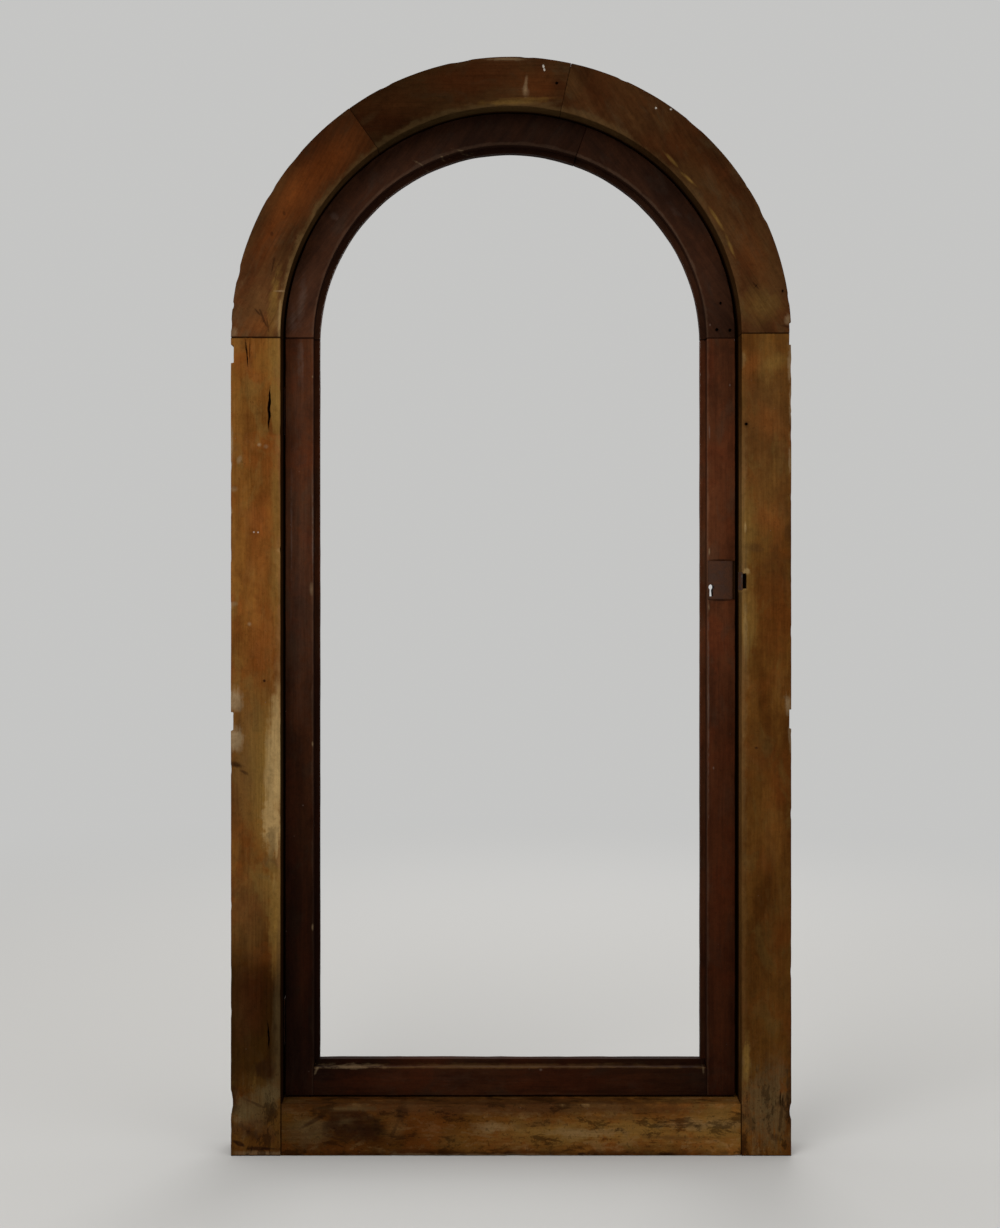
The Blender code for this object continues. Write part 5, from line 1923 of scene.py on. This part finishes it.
        right = Timber(
            "leaf_arch_right", self.body, self.slot, self.arc((self.joint, -GAP / 2), (0.0, GAP / 2)),
            leaf_section(), 25, chip_rate=16.0, sunk=self.arch_sunk,
        )
        right.cutters = [
            hole("screw_hole", (0.3485, 1.404), 0.0026, LEAF_FRONT_Y, 0.014, 0.2),
            hole("screw_hole", (0.3424, 1.36), 0.0029, LEAF_FRONT_Y, 0.014, 0.2),
            hole("screw_hole", (0.3642, 1.359), 0.0029, LEAF_FRONT_Y, 0.014, 0.2),
        ]
        marks = (
            Mark(Tone.SOOT_AND_SHADE, 0.3485, 1.404, 0.009, 0.009, 0.6, 0, 0.3),
            Mark(Tone.SOOT_AND_SHADE, 0.3424, 1.36, 0.01, 0.01, 0.6, 0, 0.3),
            Mark(Tone.SOOT_AND_SHADE, 0.3642, 1.359, 0.01, 0.01, 0.6, 0, 0.3),
            Mark(Tone.DUST_AND_SHEEN, 0.331, 1.368, 0.003, 0.005, 0.5, 0, 0.4, 0.4),
            Mark(Tone.DUST_AND_SHEEN, 0.272, 1.56, 0.01, 0.03, 0.1, -40, 1.8),
        )
        # Brightness partly painted light and shade, darkest at the crown; the last figure is the rebate's
        # painted shade.
        levels = (
            Level(-0.34, 0.27, 0.5, 0.7), Level(-0.2, 0.34, 0.6, 0.65), Level(-0.05, 0.4, 0.6, 0.6),
            Level(0.06, 0.54, 0.5, 0.55), Level(0.2, 0.46, 0.4, 0.55),
        )
        lay = Lay(-54, 0.06, 11.0)
        right.build(LEAF_ARCH_WOOD.make("leaf_arch_right", lay, marks, lay.set_out(levels, (0.25, 1.5))))

    def build(self) -> None:
        """Makes every timber of the leaf."""
        self.stiles()
        self.rail()
        self.head()


@dataclass
class Lock:
    """The rusted lock case, let into the right stile."""

    left: float = 0.3275
    right: float = 0.369
    low: float = 0.912
    high: float = 0.976
    depth: float = 0.012
    head: Point = (0.3333, 0.9325)
    head_radius: float = 0.0046
    slot_half: float = 0.0032
    slot_foot: float = 0.9171

    def keyhole(self, front_y: float, rear_y: float) -> bpy.types.Object:
        """Cutter for the keyhole, with a slot that spreads a little at its foot.

        Args:
            front_y: depth at which it starts.
            rear_y: depth at which it ends.

        Returns:
            The cutter.
        """
        turns = np.linspace(radians(-52), radians(232), 24)
        x, z = self.head
        head = [(x + self.head_radius * cos(turn), z + self.head_radius * sin(turn)) for turn in turns]
        foot = [(x - self.slot_half * 0.95, self.slot_foot), (x + self.slot_half * 0.95, self.slot_foot)]
        return plug("keyhole", head + foot, head + foot, front_y, rear_y)

    def case(self) -> None:
        """The case's plate, dished and pitted, with worn corners."""
        steps_x, steps_z, ease, pit_depth, swell_height = 42, 64, 0.001, 0.0009, 0.00012
        front = LEAF_FRONT_Y + SKIN
        wander = Wander(31)
        xs = np.linspace(self.left + SKIN, self.right - SKIN, steps_x)
        zs = np.linspace(self.low + SKIN, self.high - SKIN, steps_z)
        grid_x, grid_z = np.meshgrid(xs, zs, indexing="ij")
        edge_x = np.minimum(grid_x - xs[0], xs[-1] - grid_x)
        edge_z = np.minimum(grid_z - zs[0], zs[-1] - grid_z)
        edge = np.minimum(edge_x, edge_z)
        pits = np.clip(wander.at(grid_x * 300, grid_z * 300, 3) - 0.35, 0, 1) * pit_depth
        swell = swell_height * (1 + wander.at(grid_x * 60, grid_z * 60, 2))
        depth = front + ease * np.clip(1 - edge / ease, 0, 1) ** 2 * 0.6 + pits + swell
        points = np.stack((grid_x, depth, grid_z), axis=-1).reshape(-1, 3).tolist()
        index = np.arange(steps_x * steps_z).reshape(steps_x, steps_z)
        quads = np.stack((index[:-1, :-1], index[1:, :-1], index[1:, 1:], index[:-1, 1:]), axis=-1)
        faces = quads.reshape(-1, 4).tolist()
        rim = [*index[:, 0], *index[-1, 1:], *index[-2::-1, -1], *index[0, -2:0:-1]]
        base = len(points)
        points += [(points[i][0], LEAF_FRONT_Y + self.depth - SKIN, points[i][2]) for i in rim]
        count = len(rim)
        for step in range(count):
            after = (step + 1) % count
            faces.append([int(rim[step]), int(rim[after]), base + after, base + step])
        faces.append([base + step for step in range(count)])
        mesh = bpy.data.meshes.new("lock_case_plate")
        mesh.from_pydata(points, [], faces)
        outward(mesh)
        finish = IronFinish(plate=(0.044, 0.0175, 0.0085), rust=(0.058, 0.021, 0.0085))
        mesh.materials.append(finish.make("lock", 0.05))
        thing = linked("lock_case_plate", mesh)
        cut_by(thing, [self.keyhole(LEAF_FRONT_Y - 0.01, 0.03)])
        smooth(thing.data, 40)
        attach(thing, "leaf")
        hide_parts("lock_case")
        log.info("%s: %d faces", thing.name, len(thing.data.polygons))


@dataclass
class Screw:
    """A flush slotted screw head."""

    centre: tuple[float, float, float]
    normal: tuple[float, float, float]
    body: str
    radius: float = 0.0031
    turn: float = 0.3

    def build(self, name: str, material: bpy.types.Material) -> None:
        """Makes the head with its slot.

        Args:
            name: its name.
            material: its iron.
        """
        work = bmesh.new()
        bmesh.ops.create_cone(
            work, cap_ends=True, segments=28, radius1=self.radius * 0.8, radius2=self.radius, depth=0.0012
        )
        bmesh.ops.translate(work, verts=work.verts, vec=(0, 0, -0.0006))
        top = [edge for edge in work.edges if min(v.co.z for v in edge.verts) > -0.0001]
        bmesh.ops.bevel(work, geom=top, offset=0.00025, segments=2, profile=0.5, affect="EDGES")
        way = Vector(self.normal).to_track_quat("Z", "Y").to_matrix().to_4x4()
        place = Matrix.Translation(self.centre) @ way @ Matrix.Rotation(self.turn, 4, "Z")
        bmesh.ops.transform(work, matrix=place, verts=work.verts)
        mesh = bpy.data.meshes.new(name)
        work.to_mesh(mesh)
        work.free()
        mesh.materials.append(material)
        thing = linked(name, mesh)
        cutter_mesh = bpy.data.meshes.new("slot")
        work = bmesh.new()
        size = Matrix.Diagonal((self.radius * 2.4, 0.0008, 0.001, 1.0))
        bmesh.ops.create_cube(work, size=1.0, matrix=place @ size)
        work.to_mesh(cutter_mesh)
        work.free()
        cut_by(thing, [linked("slot", cutter_mesh)])
        smooth(thing.data, 35)
        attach(thing, self.body)
        log.info("%s: %d faces", thing.name, len(thing.data.polygons))


@dataclass
class Ironwork:
    """The hinges and the keep, which keep their solids' shapes, with their edges eased, and their screws."""

    finish: IronFinish = IronFinish()
    plate_gap: float = 0.00035
    screw_drops: tuple[float, ...] = (-0.026, 0.0, 0.026)
    screw_y: float = 0.0225
    stagger: float = 0.004
    proud: float = 0.0001

    def dress(self, node: str, clean: float) -> bpy.types.Material:
        """Finishes a solid that stays in view.

        Args:
            node: the solid.
            clean: how much bare iron shows.

        Returns:
            Its material.
        """
        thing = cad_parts[node]
        material = self.finish.make(node, clean)
        thing.data.materials.clear()
        thing.data.materials.append(material)
        bevel = thing.modifiers.new("eased", "BEVEL")
        bevel.width = 0.0003
        bevel.segments = 2
        bevel.limit_method = "ANGLE"
        bevel.angle_limit = radians(40)
        log.info("%s dressed", node)
        return material

    def build(self) -> None:
        """Dresses the hinges and the keep and adds their screws."""
        for place, middle in HINGE_HEIGHTS.items():
            for half, side, body in (("fixed", -1, "surround"), ("moving", 1, "leaf")):
                material = self.dress(f"hinge_{place}_{half}", 0.25)
                face = HINGE_AXIS_X + side * self.plate_gap
                for step, drop in enumerate(self.screw_drops):
                    offset = self.stagger if step == 1 else -self.stagger
                    centre = (face - side * self.proud, self.screw_y + offset, middle + drop)
                    screw = Screw(centre, (-side, 0.0, 0.0), body, turn=0.5 + step * 0.9)
                    screw.build(f"hinge_{place}_{half}_screw_{step + 1}", material)
        self.dress("lock_keep", 0.6)


@dataclass
class Studio:
    """Floor, backdrop light, lamps and camera."""

    pale: Colour = (0.56, 0.56, 0.552)
    eye: tuple[float, float, float] = (-0.051, -2.738, 0.936)
    lens: float = 48.28
    shift: Point = (20 / PHOTO_HEIGHT, -29 / PHOTO_HEIGHT)
    aim: tuple[float, float, float] = (0.0, 0.0, 0.95)

    def floor(self) -> None:
        """A pale floor that turns into the backdrop's tone far from the part."""
        work = bmesh.new()
        bmesh.ops.create_circle(work, cap_ends=True, segments=96, radius=30.0)
        mesh = bpy.data.meshes.new("studio_floor")
        work.to_mesh(mesh)
        work.free()
        board = Board("studio_floor")
        x, y, _ = board.split(board.places())
        far = board.length(board.joined(x, y, 0.0)).eased(1.0, 4.0)
        self.floor_shader(board, far)
        mesh.materials.append(board.material)
        thing = linked("studio_floor", mesh)
        thing.location.z = -0.0002

    def floor_shader(self, board: Board, far: Value) -> None:
        """Mixes the lit floor with the backdrop's own glow.

        Args:
            board: the floor's tree.
            far: 0 near the part and 1 far away.
        """
        board.shader.inputs["Base Color"].default_value = (0.505, 0.502, 0.492, 1.0)
        board.shader.inputs["Roughness"].default_value = 0.9
        board.shader.inputs["Specular IOR Level"].default_value = 0.1
        glow = board.node("ShaderNodeEmission", {}, {"Color": self.pale, "Strength": 1.0})
        mix = board.node("ShaderNodeMixShader", {}, {0: far, 1: board.shader.outputs[0], 2: glow.outputs[0]})
        board.tree.links.new(mix.outputs[0], board.tree.nodes["Material Output"].inputs["Surface"])

    def sky(self) -> None:
        """A pale backdrop for the camera, and softer light from all round for everything else."""
        world = bpy.data.worlds.new("studio")
        bpy.context.scene.world = world
        world.use_nodes = True
        nodes, links = world.node_tree.nodes, world.node_tree.links
        seen, soft = nodes["Background"], nodes.new("ShaderNodeBackground")
        seen.inputs["Color"].default_value = (*self.pale, 1.0)
        coords = nodes.new("ShaderNodeTexCoord")
        split = nodes.new("ShaderNodeSeparateXYZ")
        links.new(coords.outputs["Generated"], split.inputs[0])
        upward = nodes.new("ShaderNodeMapRange")
        links.new(split.outputs["Z"], upward.inputs["Value"])
        upward.inputs["From Min"].default_value = -0.2
        upward.inputs["To Min"].default_value = 0.22
        upward.inputs["To Max"].default_value = 0.95
        soft.inputs["Color"].default_value = (1.0, 0.985, 0.96, 1.0)
        links.new(upward.outputs[0], soft.inputs["Strength"])
        path, mix = nodes.new("ShaderNodeLightPath"), nodes.new("ShaderNodeMixShader")
        links.new(path.outputs["Is Camera Ray"], mix.inputs[0])
        links.new(soft.outputs[0], mix.inputs[1])
        links.new(seen.outputs[0], mix.inputs[2])
        links.new(mix.outputs[0], nodes["World Output"].inputs["Surface"])

    def lamp(self, name: str, place: tuple[float, float, float], size: float, power: float) -> None:
        """A large soft lamp aimed at the part.

        Args:
            name: its name.
            place: where it hangs.
            size: its width.
            power: its power in watts.
        """
        data = bpy.data.lights.new(name, "AREA")
        data.shape, data.size, data.energy = "DISK", size, power
        thing = bpy.data.objects.new(name, data)
        bpy.context.scene.collection.objects.link(thing)
        thing.location = place
        thing.rotation_euler = (Vector(self.aim) - Vector(place)).to_track_quat("-Z", "Y").to_euler()

    def camera(self) -> None:
        """The camera, level and square to the part."""
        data = bpy.data.cameras.new("camera")
        data.sensor_width, data.lens = 36.0, self.lens
        data.shift_x, data.shift_y = self.shift
        data.clip_end = 200.0
        thing = bpy.data.objects.new("camera", data)
        bpy.context.scene.collection.objects.link(thing)
        thing.location, thing.rotation_euler = self.eye, (radians(90), 0, 0)
        bpy.context.scene.camera = thing

    def build(self) -> None:
        """Sets the stage."""
        self.camera()
        self.floor()
        self.sky()
        self.lamp("key", (-1.6, -2.6, 3.0), 2.4, 62.0)
        self.lamp("fill", (2.4, -2.4, 1.8), 2.6, 16.0)
        self.lamp("rear", (0.6, 3.4, 2.8), 2.6, 60.0)
        bpy.context.scene.view_settings.view_transform = "Standard"
        log.info("studio set")


def main() -> None:
    """Builds the part's looks and its stage."""
    logging.basicConfig(level=logging.INFO, format="%(message)s")
    Studio().build()
    Surround().build()
    Leaf().build()
    Lock().case()
    Ironwork().build()


if __name__ == "__main__":
    main()
